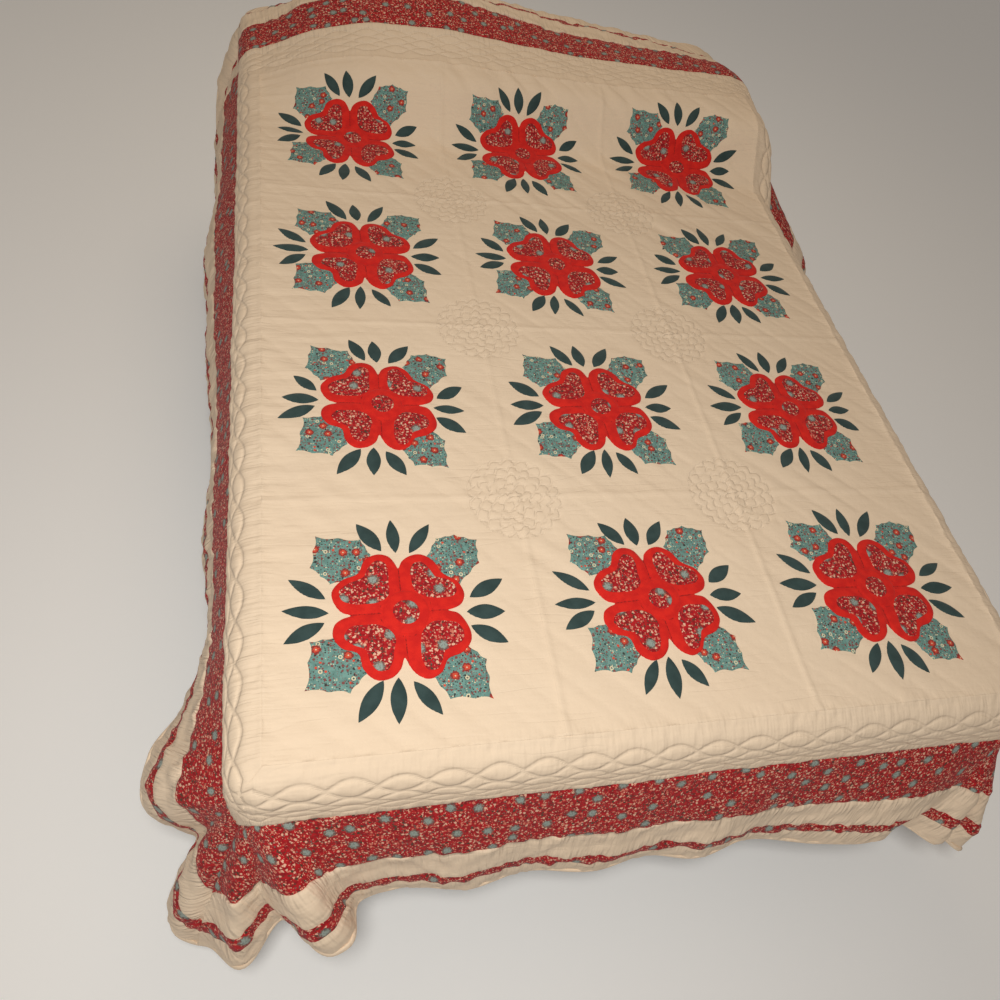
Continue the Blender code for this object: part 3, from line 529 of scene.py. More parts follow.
# corners of the four printed hearts
HEARTS = (
    ((36, 80), (22, 130), (24, 182), (44, 212), (74, 216), (98, 192), (126, 148), (174, 128), (202, 100),
     (204, 70), (176, 46), (128, 42), (78, 52)),
    ((-56, 72), (-50, 124), (-48, 176), (-62, 212), (-88, 222), (-118, 198), (-146, 152), (-204, 126),
     (-236, 96), (-228, 60), (-188, 40), (-130, 36), (-84, 48)),
    ((-58, -68), (-100, -40), (-160, -36), (-214, -50), (-230, -82), (-208, -110), (-158, -138), (-140, -194),
     (-116, -222), (-86, -222), (-62, -190), (-50, -146), (-42, -100)),
    ((50, -76), (80, -46), (132, -38), (182, -52), (202, -84), (196, -122), (160, -144), (124, -162),
     (106, -200), (84, -230), (54, -230), (36, -196), (34, -130)),
)
# corners of the four leaves; some lie under the petals
LEAVES = (
    ((312, 306), (222, 332), (146, 316), (100, 236), (120, 120), (215, 104), (306, 196)),
    ((-307, 340), (-330, 200), (-262, 128), (-140, 130), (-106, 250), (-142, 322)),
    ((-364, -268), (-218, -292), (-155, -226), (-150, -120), (-250, -75), (-338, -88)),
    ((268, -346), (266, -196), (198, -126), (110, -140), (60, -244), (118, -338)),
)
# narrow leaves: tip right, tip up, root right, root up
BLADES = (
    (-151, 400, -67, 264), (-24, 404, -14, 254), (127, 381, 36, 251), (-400, 161, -281, 70),
    (-433, 32, -272, 15), (-429, -90, -288, -20), (374, 126, 242, 51), (368, -12, 222, -8),
    (366, -142, 230, -64), (-194, -385, -102, -251), (-64, -402, -50, -243), (78, -397, 0, -261),
)
# turn and size of the motif in each block, from the foot row up, left to right: degrees, scale
MOTIFS = (
    (0.0, 1.00), (3.0, 0.98), (-2.0, 1.01),
    (-2.0, 0.98), (2.0, 1.00), (1.0, 0.97),
    (2.0, 1.01), (-3.0, 0.99), (1.0, 1.00),
    (-1.0, 0.99), (2.0, 0.98), (-2.0, 1.00),
)


def of_block(corners: tuple) -> Array:
    """Corners given in thousandths of a block, in blocks."""
    return np.array(corners) / 1000


def turn_area(outline: Array) -> float:
    """Area inside an outline, below zero where it runs clockwise."""
    ahead = np.roll(outline, -1, 0)
    return float(np.sum(outline[:, 0] * ahead[:, 1] - ahead[:, 0] * outline[:, 1])) / 2


def inside(points: Array, outline: Array) -> Array:
    """Whether points lie inside an outline, by how often a level line from each crosses it."""
    x, y = points[..., 0], points[..., 1]
    hit = np.zeros(x.shape, bool)
    for (ax, ay), (bx, by) in zip(outline, np.roll(outline, -1, 0)):
        if ay != by:
            hit ^= ((ay > y) != (by > y)) & (x < ax + (y - ay) / (by - ay) * (bx - ax))
    return hit


@dataclass
class Motif:
    """Outlines of one block's applique: a flower of four hearts, four leaves and twelve narrow leaves.

    The random numbers are drawn patch by patch, so that each block is cut a little differently.
    """

    quilt: FlatQuilt
    row: int
    column: int
    disc: float = 0.087
    print_disc: float = 0.050
    curve_cells: int = 5
    circle_cells: int = 56
    flower_waver: float = 0.018
    circle_waver: float = 0.02
    leaf_waver: float = 0.015
    heart_sizes: Pair = (0.93, 1.0)
    leaf_wave: float = 0.0085
    leaf_edge: float = 0.15
    leaf_points: Pair = (0.42, 0.58)
    leaf_cells: int = 14
    blade_wide: float = 0.029
    blade_widths: Pair = (0.86, 1.12)
    blade_lengths: Pair = (-0.03, 0.02)
    blade_shift: float = 0.010
    blade_cells: int = 14
    raster: int = 264
    cover_blur: float = 0.0022
    near_blur: float = 0.007

    def __post_init__(self) -> None:
        """Place the motif on its block and mark the cloth that it covers."""
        number = self.row * self.quilt.columns + self.column
        degrees, self.scale = MOTIFS[number]
        turn = math.radians(degrees)
        self.spin = np.array([[math.cos(turn), math.sin(turn)], [-math.sin(turn), math.cos(turn)]])
        block, half = self.quilt.block, (self.quilt.field_w, self.quilt.field_l)
        self.middle = np.array([(self.column + 0.5) * block - half[0], (self.row + 0.5) * block - half[1]])
        self.random = np.random.default_rng(100 + number)
        flower = closed_curve(of_block(FLOWER), self.curve_cells)
        self.flower = self.place(self.varied(flower, self.flower_waver))
        self.hearts = [self.place(self.heart(of_block(corners))) for corners in HEARTS]
        self.leaves = [self.place(self.leaf(of_block(corners))) for corners in LEAVES]
        self.blades = [self.place(self.blade(row[:2], row[2:])) for row in of_block(BLADES)]
        self.centre = self.place(self.circle(self.disc))
        self.print_centre = self.place(self.circle(self.print_disc))
        self.cover, self.near = self.covered()

    @property
    def label(self) -> str:
        """Row and column of the block, as its pieces' names end."""
        return f"{self.row + 1}_{self.column + 1}"

    def place(self, points: Array) -> Array:
        """Points of the motif, in blocks, as flat points of the quilt."""
        return points @ self.spin * self.quilt.block * self.scale + self.middle

    def unplaced(self, flat: Array) -> Array:
        """Flat points of the quilt as points of the motif, in blocks."""
        return (flat - self.middle) @ self.spin.T / (self.quilt.block * self.scale)

    def varied(self, points: Array, amount: float) -> Array:
        """An outline whose distance from the middle wavers a little, as hand-cut cloth does."""
        angle = np.arctan2(points[:, 1], points[:, 0])
        phases = self.random.uniform(0, 2 * math.pi, 3)
        waver = sum(np.sin((k + 2) * angle + phase) / (k + 1.5) for k, phase in enumerate(phases))
        return points * (1 + amount * waver)[:, None]

    def circle(self, radius: float) -> Array:
        """A disc that isn't quite round."""
        angle = np.linspace(0, 2 * math.pi, self.circle_cells, endpoint=False)
        return self.varied(np.stack([np.cos(angle), np.sin(angle)], -1) * radius, self.circle_waver)

    def heart(self, corners: Array) -> Array:
        """A heart whose point is toward the disc, each cut a little larger or smaller than the last."""
        points = closed_curve(corners, self.curve_cells)
        middle = points.mean(0)
        return middle + (points - middle) * self.random.uniform(*self.heart_sizes)

    def leaf(self, corners: Array) -> Array:
        """A leaf with pointed corners, each edge cut in two shallow hollows with a point between them."""
        share = np.linspace(0, 1, self.leaf_cells, endpoint=False)[None, :, None]
        edge = np.roll(corners, -1, 0) - corners
        length = np.linalg.norm(edge, axis=1)
        out = np.stack([edge[:, 1], -edge[:, 0]], -1) / length[:, None]
        if turn_area(corners) < 0:
            out = -out
        middle = self.random.uniform(*self.leaf_points, len(corners))[:, None, None]
        hollow = np.where(share < middle, share / middle, (share - middle) / (1 - middle))
        long = length[:, None, None] / self.leaf_edge
        points = corners[:, None] + edge[:, None] * share
        points = points - out[:, None] * self.leaf_wave * long * np.sin(math.pi * hollow)
        return self.varied(points.reshape(-1, 2), self.leaf_waver)

    def blade(self, tip: Array, root: Array) -> Array:
        """A narrow leaf: a lens about the line from its root to its tip."""
        tip = tip * (1 + self.random.uniform(*self.blade_lengths))
        tip = tip + self.random.uniform(-self.blade_shift, self.blade_shift, 2)
        share = np.linspace(0, 1, self.blade_cells + 1)
        half = self.blade_wide * self.random.uniform(*self.blade_widths)
        half = half * np.sin(math.pi * share**0.94) ** 0.88
        line = tip - root
        side = np.array([-line[1], line[0]]) / np.linalg.norm(line)
        spine = root + line * share[:, None]
        left, right = spine + side * half[:, None], spine - side * half[:, None]
        return np.concatenate([right, left[-2:0:-1]])

    def covered(self) -> tuple[Array, Array]:
        """How far the motif covers the block's cloth, softly, near its edges and farther from them."""
        line = np.linspace(-0.5, 0.5, self.raster) * self.quilt.block
        u, v = np.meshgrid(self.middle[0] + line, self.middle[1] + line)
        points = np.stack([u, v], -1)
        mask = np.zeros(u.shape, bool)
        for outline in (self.flower, *self.leaves, *self.blades):
            low, high = outline.min(0), outline.max(0)
            rows = (v[:, 0] >= low[1]) & (v[:, 0] <= high[1])
            columns = (u[0] >= low[0]) & (u[0] <= high[0])
            part = np.ix_(rows, columns)
            mask[part] |= inside(points[part], outline)
        pixel = self.quilt.block / (self.raster - 1)
        return self.blurred(mask, self.cover_blur / pixel), self.blurred(mask, self.near_blur / pixel)

    @staticmethod
    def blurred(mask: Array, size: float) -> Array:
        """A mask smoothed by a bell curve along its rows and then its columns."""
        reach = int(3 * size) + 1
        curve = np.exp(-0.5 * (np.arange(-reach, reach + 1) / size) ** 2)
        curve /= curve.sum()
        out = np.apply_along_axis(np.convolve, 0, mask.astype(float), curve, "same")
        return np.apply_along_axis(np.convolve, 1, out, curve, "same")

    def sample(self, table: Array, u: Array, v: Array) -> Array:
        """Values of one of the block's tables at flat points."""
        top = self.raster - 1
        column = np.clip((u - self.middle[0]) / self.quilt.block + 0.5, 0, 1) * top
        row = np.clip((v - self.middle[1]) / self.quilt.block + 0.5, 0, 1) * top
        return blend(table, row, column)


@dataclass(frozen=True)
class Pull:
    """Folds that are drawn into the cloth round one place, and fade from it on a bell curve.

    Args:
        place: the place, in blocks from the quilt's middle.
        spread: width of the bell curve along u and v, in blocks.
        height: height of the folds.
        size: spacing along and across them.
        turn: degrees from u to the folds.
        seed: number that fixes their noise.
    """

    place: Pair
    spread: Pair
    height: float
    size: Pair
    turn: float
    seed: int

    def at(self, u: Array, v: Array, block: float) -> Array:
        """Height of the folds at flat points."""
        x, y = (u / block - self.place[0]) / self.spread[0], (v / block - self.place[1]) / self.spread[1]
        return self.height * np.exp(-(x**2) - y**2) * soft_noise(u, v, self.size, self.turn, self.seed)


PULLS = (
    Pull((1.0, 1.05), (0.55, 0.42), 0.0052, (0.22, 0.026), -38.0, 31),
    Pull((0.0, 1.25), (1.0, 0.35), 0.0028, (0.16, 0.026), -52.0, 32),
    Pull((0.2, 1.9), (1.3, 0.22), 0.0032, (0.13, 0.024), -62.0, 33),
)


@dataclass
class Sewing:
    """Relief that the sewing and quilting give the cloth, as a thickness at each flat point.

    Every seam and stitched line is a distance to a curve. The wadding swells with the distance to the nearest
    stitched line, and each seam, ridge and pucker adds its own bell-shaped height. Where no line is near, the
    distance is given as far.
    """

    quilt: FlatQuilt
    motifs: list[Motif]
    far: float = 1.0
    pinched: float = 0.0028
    thinnest: float = 0.0012
    loft: float = 0.0030
    swell: float = 0.0062
    diagonal_gap: float = 0.0475
    diagonal_stray: float = 0.003
    diagonal_deep: Pair = (0.30, 0.42)
    diagonal_reach: float = 2.4
    motif_clear: float = 0.06
    braid_place: float = 0.53
    braid_length: float = 0.138
    braid_wave: float = 0.0132
    braid_gap: float = 0.0268
    braid_corner: float = 0.060
    braid_swell: float = 0.0052
    braid_deep: float = 0.72
    head_braid_deep: float = 0.45
    ring: float = 0.084
    rounds: tuple[tuple[float, int], ...] = ((1.0, 18), (0.80, 16), (0.60, 12), (0.40, 8), (0.20, 6))
    scallop: float = 0.13
    ring_clear: Pair = (1.03, 1.10)
    ring_deep: float = 0.40
    wobble: float = 0.0013
    seam_dip: float = 0.0015
    seam_wide: float = 0.0030
    ridge_height: float = 0.0021
    ridge_wide: float = 0.0050
    ridge_aside: float = 0.003
    ruffle: float = 0.0006
    patch_dip: float = 0.0009
    patch_rise: float = 0.0005
    slack: float = 0.00028
    drag: float = 0.0012
    tuck_slant: float = 0.5
    tuck_red: float = 0.0008
    tuck_red_wide: float = 0.018
    tuck_field: float = 0.0007
    tuck_field_wide: float = 0.014
    wrinkle: float = 0.0026
    gather: float = 0.0022
    gather_wide: float = 0.018
    crease: float = 0.0013
    crease_place: Pair = (-1.45, -2.2)
    crease_spread: Pair = (0.42, 0.5)

    def braid(self, u: Array, v: Array) -> Array:
        """Distance to the braid: two mirrored waves, three abreast, round the middle of the inner border."""
        q = self.quilt
        inward = q.borders - self.braid_place * q.inner_border
        half_u, half_v, r = q.half_w - inward, q.half_l - inward, self.braid_corner
        x, y = np.abs(u) - (half_u - r), np.abs(v) - (half_v - r)
        corner = (x > 0) & (y > 0)
        out = np.where(corner, np.hypot(x, y), np.maximum(x, y)) - r
        angle = np.arctan2(np.maximum(y, 0), np.maximum(x, 1e-9))
        quarter = half_v - r + r * math.pi / 2 + half_u - r
        run = np.where(corner, half_v - r + r * angle, np.where(x > y, np.abs(v), quarter - np.abs(u)))
        run = np.where(u * v < 0, -run, run) + np.where(u < 0, 2 * quarter, 0)
        waves = 4 * quarter / round(4 * quarter / self.braid_length)
        phase = 2 * math.pi * run / waves
        swing = self.braid_wave * np.sin(phase)
        steep = np.sqrt(1 + (self.braid_wave * 2 * math.pi / waves * np.cos(phase)) ** 2)
        out = out + self.wobble * soft_noise(u, v, (0.045, 0.045), 0, 21)
        distance = np.full(np.shape(out), self.far)
        for lane in (-1, 0, 1):
            for way in (-1, 1):
                distance = np.minimum(distance, np.abs(out - lane * self.braid_gap - way * swing) / steep)
        return distance

    def rings(self, u: Array, v: Array) -> tuple[Array, Array]:
        """Distance to the nearest round of feathers' stitching, and from its middle."""
        q = self.quilt
        x, y = np.abs(u) - q.block / 2, self.block_seam(u, v)[1]
        r = np.hypot(x, y) + self.wobble * soft_noise(u, v, (0.035, 0.035), 0, 22)
        angle = np.arctan2(y, x)
        nearest = np.full(r.shape, self.far)
        for count, (share, petals) in enumerate(self.rounds):
            lobe = np.abs(np.sin(petals / 2 * angle + count * math.pi / 4))
            round_r = self.ring * (share - self.scallop + self.scallop * lobe)
            nearest = np.minimum(nearest, np.abs(r - round_r))
        return np.where(r < self.ring_clear[0] * self.ring, nearest, self.far), r

    def block_seam(self, u: Array, v: Array) -> tuple[Array, Array]:
        """Signed distances to the nearest seams that run along and across the blocks."""
        block = self.quilt.block
        across = u - block * (np.clip(np.round(u / block - 0.5), -1, 0) + 0.5)
        along = v - block * np.clip(np.round(v / block), -1, 1)
        return across, along

    def drawn(self, u: Array, v: Array) -> tuple[Array, Array]:
        """Distances to the nearest line of the feathers and the braid, and to the middle of the feathers."""
        hem = self.quilt.from_hem(u, v)
        in_field = hem > self.quilt.borders
        in_border = (hem > self.quilt.red_seam) & ~in_field
        rings, ring_r = self.rings(u, v)
        line = np.where(in_field, rings, self.far)
        return np.where(in_border, self.braid(u, v), line), np.where(in_field, ring_r, self.far)

    def valleys(self, u: Array, v: Array, near: Array) -> Array:
        """Depth of the stitched lines, from 0 to 1.

        Args:
            u: first flat coordinates.
            v: second flat coordinates.
            near: closeness of the motif, from 0 to 1.

        Returns:
            The depth at each point. The diagonal lines deepen toward the right and the head, and the braid is
            shallower at the head.
        """
        drawn, ring_r = self.drawn(u, v)
        in_field = ring_r < self.far
        diagonal = (u + v) / math.sqrt(2) / self.diagonal_gap
        diagonal = np.abs((diagonal + 0.5) % 1 - 0.5) * self.diagonal_gap
        diagonal = diagonal + self.diagonal_stray * (1 + soft_noise(u, v, (0.11, 0.11), 0, 5))
        free = in_field & (near < self.motif_clear) & (ring_r > self.ring_clear[1] * self.ring)
        least, rise = self.diagonal_deep
        deep = least + rise * np.clip(0.5 + (u + v) / self.diagonal_reach, 0, 1)
        depth = np.where(free, deep * bell(diagonal, self.swell), 0.0)
        drawn_deep = np.where(v > self.quilt.field_l, self.head_braid_deep, self.braid_deep)
        drawn_deep = np.where(in_field, self.ring_deep, drawn_deep)
        return np.maximum(depth, drawn_deep * bell(drawn, self.braid_swell))

    def covers(self, u: Array, v: Array) -> tuple[Array, Array]:
        """Share of each flat point under the patches, and closeness of the motif."""
        cover, near = np.zeros(u.shape), np.zeros(u.shape)
        for motif in self.motifs:
            away = np.maximum(np.abs(u - motif.middle[0]), np.abs(v - motif.middle[1]))
            here = away <= self.quilt.block / 2
            if here.any():
                cover[here] = motif.sample(motif.cover, u[here], v[here])
                near[here] = motif.sample(motif.near, u[here], v[here])
        return cover, near

    def thickness(self, u: Array, v: Array) -> Array:
        """Height of the quilt's face over its under-face at flat points."""
        q = self.quilt
        u, v = np.broadcast_arrays(np.asarray(u, float), np.asarray(v, float))
        hem = q.from_hem(u, v)
        in_field = hem > q.borders
        in_border = (hem > q.red_seam) & ~in_field
        cover, near = self.covers(u, v)
        height = self.pinched + self.loft * (1 - self.valleys(u, v, near))
        height += np.where(in_border, self.ruffle, 0.0) * soft_noise(u, v, (0.013, 0.013), 30, 13)
        seams = np.min([np.abs(hem - seam) for seam in q.seams[:-1]], axis=0)
        height -= self.seam_dip * bell(seams, self.seam_wide)
        ridge = sum(bell(away - self.ridge_aside, self.ridge_wide) for away in self.block_seam(u, v))
        ridge = np.where(in_field, ridge, 0.0) + bell(q.borders - hem, self.ridge_wide)
        height += self.ridge_height * ridge
        height -= self.patch_dip * 4 * cover * (1 - cover)
        height += self.patch_rise * cover
        height += self.slack * soft_noise(u, v, (0.10, 0.016), -3.0, 3) * (1 - cover)
        drag = soft_noise(u, v, (0.12, 0.024), -42.0, 4) + soft_noise(u, v, (0.16, 0.05), 25.0, 6)
        height += self.drag * drag
        height += self.pulled(u, v) * (1 - 0.5 * cover)
        height += self.gathers(u, v, hem, seams)
        return np.maximum(height, self.thinnest)

    def gathers(self, u: Array, v: Array, hem: Array, seams: Array) -> Array:
        """Height of the short tucks at the borders' seams and of the wrinkles in the hanging strips.

        Args:
            u: first flat coordinates.
            v: second flat coordinates.
            hem: distance from the hem.
            seams: distance from the nearest seam of the borders, the field's left out.

        Returns:
            The height at each point. A tuck runs across its seam, a little slanted.
        """
        q = self.quilt
        beside = np.where(np.abs(q.half_w - np.abs(u) - hem) < 1e-9, v, u)
        slanted = beside + self.tuck_slant * (q.red_seam - hem)
        tick = soft_noise(slanted, slanted * 0, (0.0085, 1.0), 0, 7)
        past = hem - q.red_seam
        height = self.tuck_red * tick * bell(past, self.tuck_red_wide) * (past > 0)
        height += self.tuck_field * tick * bell(np.abs(hem - q.borders), self.tuck_field_wide)
        strip = (hem > q.binding) & (hem < q.red_seam - q.wide_red)
        wrinkle = soft_noise(u, v, (0.085, 0.022), 38.0, 8) + soft_noise(u, v, (0.06, 0.02), -50.0, 9)
        height += np.where(strip, self.wrinkle * wrinkle, 0.0)
        gathers = soft_noise(beside, beside * 0, (0.013, 1.0), 0, 10)
        gathers = gathers + 0.7 * soft_noise(slanted, hem, (0.017, 0.03), 0, 11)
        return height + np.where(past < 0, self.gather * gathers * bell(seams, self.gather_wide), 0.0)

    def pulled(self, u: Array, v: Array) -> Array:
        """Height of the folds that the pillows pull in, and of the long creases along the left border."""
        block = self.quilt.block
        x, y = u / block - self.crease_place[0], v / block - self.crease_place[1]
        left = bell(x, self.crease_spread[0]) * (1 - bell(y, self.crease_spread[1]))
        creases = self.crease * left * soft_noise(u, v, (0.17, 0.0145), 3.0, 34)
        return sum(pull.at(u, v, block) for pull in PULLS) + creases


@dataclass
class Mesh:
    """Points, faces and flat coordinates of one piece, gathered before its object is made."""

    points: list[Array] = field(default_factory=list)
    flat: list[Array] = field(default_factory=list)
    faces: list[Array] = field(default_factory=list)
    marks: list[Array] = field(default_factory=list)
    count: int = 0

    def add(self, points: Array, flat: Array, faces: list[Array], mark: Array | float = 0.0) -> None:
        """Add a closed surface.

        Args:
            points: its points, one a row.
            flat: flat coordinates of each point.
            faces: arrays of point numbers, one array for each count of corners.
            mark: a number for all its points, or one for each, for the material to read.
        """
        self.points.append(points.reshape(-1, 3))
        self.flat.append(flat.reshape(-1, 2))
        self.marks.append(np.broadcast_to(mark, len(self.points[-1])))
        self.faces += [f + self.count for f in faces]
        self.count += len(self.points[-1])

    def build(self, name: str, material: Material, slot: Slot) -> bpy.types.Object:
        """Make the object with its flat map and marks, riding on the body.

        Faces of three and four corners are smooth. The walls of slabs have more, and stay flat, so that the
        faces of neighbours shade alike at their seam.

        Args:
            name: name of the piece.
            material: its material.
            slot: not used.

        Returns:
            The new object.
        """
        mesh = bpy.data.meshes.new(name)
        points = np.concatenate(self.points)
        corners = np.concatenate([f.ravel() for f in self.faces]).astype(np.int32)
        sizes = np.concatenate([np.full(len(f), f.shape[1]) for f in self.faces]).astype(np.int32)
        mesh.vertices.add(len(points))
        mesh.loops.add(len(corners))
        mesh.polygons.add(len(sizes))
        mesh.vertices.foreach_set("co", points.astype(np.float32).ravel())
        mesh.loops.foreach_set("vertex_index", corners)
        mesh.polygons.foreach_set("loop_start", (np.cumsum(sizes) - sizes).astype(np.int32))
        mesh.polygons.foreach_set("loop_total", sizes)
        flat = np.concatenate(self.flat)[corners]
        mesh.uv_layers.new(name=FLAT_MAP).data.foreach_set("uv", flat.astype(np.float32).ravel())
        mark = mesh.attributes.new(MARK, "FLOAT", "POINT")
        mark.data.foreach_set("value", np.concatenate(self.marks).astype(np.float32))
        mesh.update(calc_edges=True)
        mesh.polygons.foreach_set("use_smooth", sizes <= 4)
        mesh.validate()
        mesh.materials.append(material)
        piece = bpy.data.objects.new(name, mesh)
        bpy.context.scene.collection.objects.link(piece)
        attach(piece, BODY)
        LOG.info("%s: %d faces", name, len(sizes))
        return piece


def slab_faces(rows: int, columns: int, keep_row: int, keep_column: int, turned: bool = False) -> list[Array]:
    """Faces of a slab whose under-face has fewer points than its face.

    Args:
        rows: rows of points of the face.
        columns: columns of points of the face.
        keep_row: rows of the face for each row of the under-face.
        keep_column: the same for columns.
        turned: whether the grid runs the other way round, so that the faces are turned over.

    Returns:
        Arrays of point numbers: face, under-face and walls.
    """
    top = np.arange(rows * columns).reshape(rows, columns)
    low_rows, low_columns = (rows - 1) // keep_row + 1, (columns - 1) // keep_column + 1
    low = top.size + np.arange(low_rows * low_columns).reshape(low_rows, low_columns)
    out = [
        np.stack([top[:-1, :-1], top[:-1, 1:], top[1:, 1:], top[1:, :-1]], -1).reshape(-1, 4),
        np.stack([low[1:, :-1], low[1:, 1:], low[:-1, 1:], low[:-1, :-1]], -1).reshape(-1, 4),
    ]
    rims = (
        (top[0], low[0], keep_column, False),
        (top[-1], low[-1], keep_column, True),
        (top[:, 0], low[:, 0], keep_row, True),
        (top[:, -1], low[:, -1], keep_row, False),
    )
    for fine, coarse, keep, other in rims:
        spans = np.arange(len(coarse) - 1)[:, None] * keep + np.arange(keep, -1, -1)[None]
        wall = np.concatenate([coarse[:-1, None], coarse[1:, None], fine[spans]], 1)
        out.append(wall[:, ::-1] if other else wall)
    return [f[:, ::-1] for f in out] if turned else out


def fan_faces(rings: int, count: int) -> list[Array]:
    """Faces of a closed surface of rings between two poles.

    Args:
        rings: number of rings.
        count: points of a ring.

    Returns:
        Arrays of point numbers, for points that run from the first pole over the rings to the last pole.
    """
    ring = 1 + np.arange(rings * count).reshape(rings, count)
    ahead = np.roll(ring, -1, 1)
    fan = np.stack([np.zeros(count, int), ring[0], ahead[0]], -1)
    quads = np.stack([ring[:-1], ring[1:], ahead[1:], ahead[:-1]], -1).reshape(-1, 4)
    close = np.stack([np.full(count, 1 + rings * count), ahead[-1], ring[-1]], -1)
    return [fan, quads, close]


class Graph:
    """Node tree of one material, with short calls for the nodes that the finishes use."""

    def __init__(self, name: str, roughness: float, sheen: float = 0.0) -> None:
        """Start a material with its shader.

        Args:
            name: name of the material.
            roughness: roughness of the surface.
            sheen: weight of the fibres' sheen.
        """
        self.material = bpy.data.materials.new(name)
        self.material.use_nodes = True
        self.nodes = self.material.node_tree.nodes
        self.links = self.material.node_tree.links
        self.shader = self.nodes["Principled BSDF"]
        self.set(self.shader, {
            "Roughness": roughness, "Sheen Weight": sheen, "Sheen Roughness": 0.5, "Specular IOR Level": 0.25,
        })

    @staticmethod
    def set(node: bpy.types.Node, values: dict[str, object]) -> None:
        """Set a node's own sockets to constant values."""
        for name, value in values.items():
            node.inputs[name].default_value = value

    def put(self, socket: Socket, value: object) -> None:
        """Link a socket to another, or set its value."""
        if isinstance(value, Socket):
            self.links.new(value, socket)
        elif isinstance(value, tuple) and len(value) == 3 and socket.type == "RGBA":
            socket.default_value = (*value, 1.0)
        else:
            socket.default_value = value

    def node(self, kind: str, *values: object) -> bpy.types.Node:
        """A new node, with its first sockets linked or set."""
        node = self.nodes.new(f"ShaderNode{kind}")
        for socket, value in zip(node.inputs, values):
            self.put(socket, value)
        return node

    def math(self, operation: str, a: object, b: object = 0.0, c: object = 0.0) -> Socket:
        """A Math node's result."""
        node = self.node("Math", a, b, c)
        node.operation = operation
        return node.outputs[0]

    def times(self, a: object, b: object) -> Socket:
        """Product of two numbers."""
        return self.math("MULTIPLY", a, b)

    def less(self, a: object, b: object) -> Socket:
        """One number less another."""
        return self.math("SUBTRACT", a, b)

    def apart(self, a: object, b: object) -> Socket:
        """Distance between two numbers."""
        return self.math("ABSOLUTE", self.less(a, b))

    def grown(self, a: object, amount: object, by: object) -> Socket:
        """A number with an amount of another added."""
        return self.math("MULTIPLY_ADD", by, amount, a)

    def vector(self, operation: str, a: object, b: Triple) -> Socket:
        """A Vector Math node's vector."""
        node = self.node("VectorMath", a, b)
        node.operation = operation
        return node.outputs["Vector"]

    def shifted(self, place: object, shift: Triple) -> Socket:
        """Coordinates moved along."""
        return self.vector("ADD", place, shift)

    def flat(self) -> Socket:
        """The piece's flat cloth coordinates, in metres."""
        node = self.nodes.new("ShaderNodeUVMap")
        node.uv_map = FLAT_MAP
        return node.outputs[0]

    def solid(self) -> Socket:
        """The piece's object coordinates."""
        return self.node("TexCoord").outputs["Object"]

    def mark(self) -> Socket:
        """The piece's mark attribute."""
        node = self.node("Attribute")
        node.attribute_name = MARK
        return node.outputs["Fac"]

    def axes(self, place: object) -> list[Socket]:
        """The single coordinates of a place."""
        return list(self.node("SeparateXYZ", place).outputs)

    def noise(self, place: object, scale: float, detail: float = 2.0) -> Socket:
        """Noise from 0 to 1."""
        node = self.node("TexNoise")
        self.put(node.inputs["Vector"], place)
        self.set(node, {"Scale": scale, "Detail": detail})
        return node.outputs["Fac"]

    def grain(self, place: object, scale: Triple, detail: float) -> Socket:
        """Noise from 0 to 1 of a different fineness along each axis."""
        return self.noise(self.vector("MULTIPLY", place, scale), 1.0, detail)

    def cells(self, place: object, scale: float, loose: float = 1.0) -> bpy.types.Node:
        """Cells about scattered points, on the flat cloth."""
        node = self.node("TexVoronoi")
        node.voronoi_dimensions = "2D"
        self.put(node.inputs["Vector"], place)
        self.set(node, {"Scale": scale, "Randomness": loose})
        return node

    def chance(self, cell: bpy.types.Node) -> list[Socket]:
        """Random numbers from 0 to 1, each the same all over a cell."""
        return list(self.node("SeparateColor", cell.outputs["Color"]).outputs)

    def pick(self, cell: bpy.types.Node, low: float, high: float) -> Socket:
        """1 in the cells whose random number lies between two values."""
        number = self.chance(cell)[0]
        return self.times(self.math("GREATER_THAN", number, low), self.math("LESS_THAN", number, high))

    def step(self, value: object, low: float, high: float) -> Socket:
        """1 below low, 0 above high, smooth between."""
        node = self.node("MapRange", value)
        node.interpolation_type = "SMOOTHSTEP"
        self.set(node, {"From Min": low, "From Max": high, "To Min": 1.0, "To Max": 0.0})
        return node.outputs["Result"]

    def mix(self, share: object, a: object, b: object) -> Socket:
        """Colour a turned into colour b by a share."""
        node = self.nodes.new("ShaderNodeMix")
        node.data_type = "RGBA"
        self.put(node.inputs["Factor"], share)
        self.put(node.inputs[6], a)
        self.put(node.inputs[7], b)
        return node.outputs[2]

    def dyed(self, colour: object, share: object, strength: object, dye: Triple) -> Socket:
        """A colour turned into a dye by a share, at a strength."""
        return self.mix(self.times(share, strength), colour, dye)

    def bump(self, height: object, depth: float) -> None:
        """Relief of the surface from a height from 0 to 1, its full depth given in metres."""
        node = self.node("Bump")
        self.put(node.inputs["Height"], height)
        self.set(node, {"Distance": depth, "Strength": 1.0})
        self.put(self.shader.inputs["Normal"], node.outputs[0])

    def weave(self, place: object, threads: float) -> Socket:
        """Height of a plain weave: two sets of waves at right angles, threads a metre."""
        waves = [self.math("SINE", self.times(axis, threads * 2 * math.pi)) for axis in self.axes(place)[:2]]
        return self.math("MULTIPLY_ADD", self.times(*waves), 0.5, 0.5)

    def finish(self, colour: object) -> Material:
        """Give the shader its colour and return the material."""
        self.put(self.shader.inputs["Base Color"], colour)
        return self.material


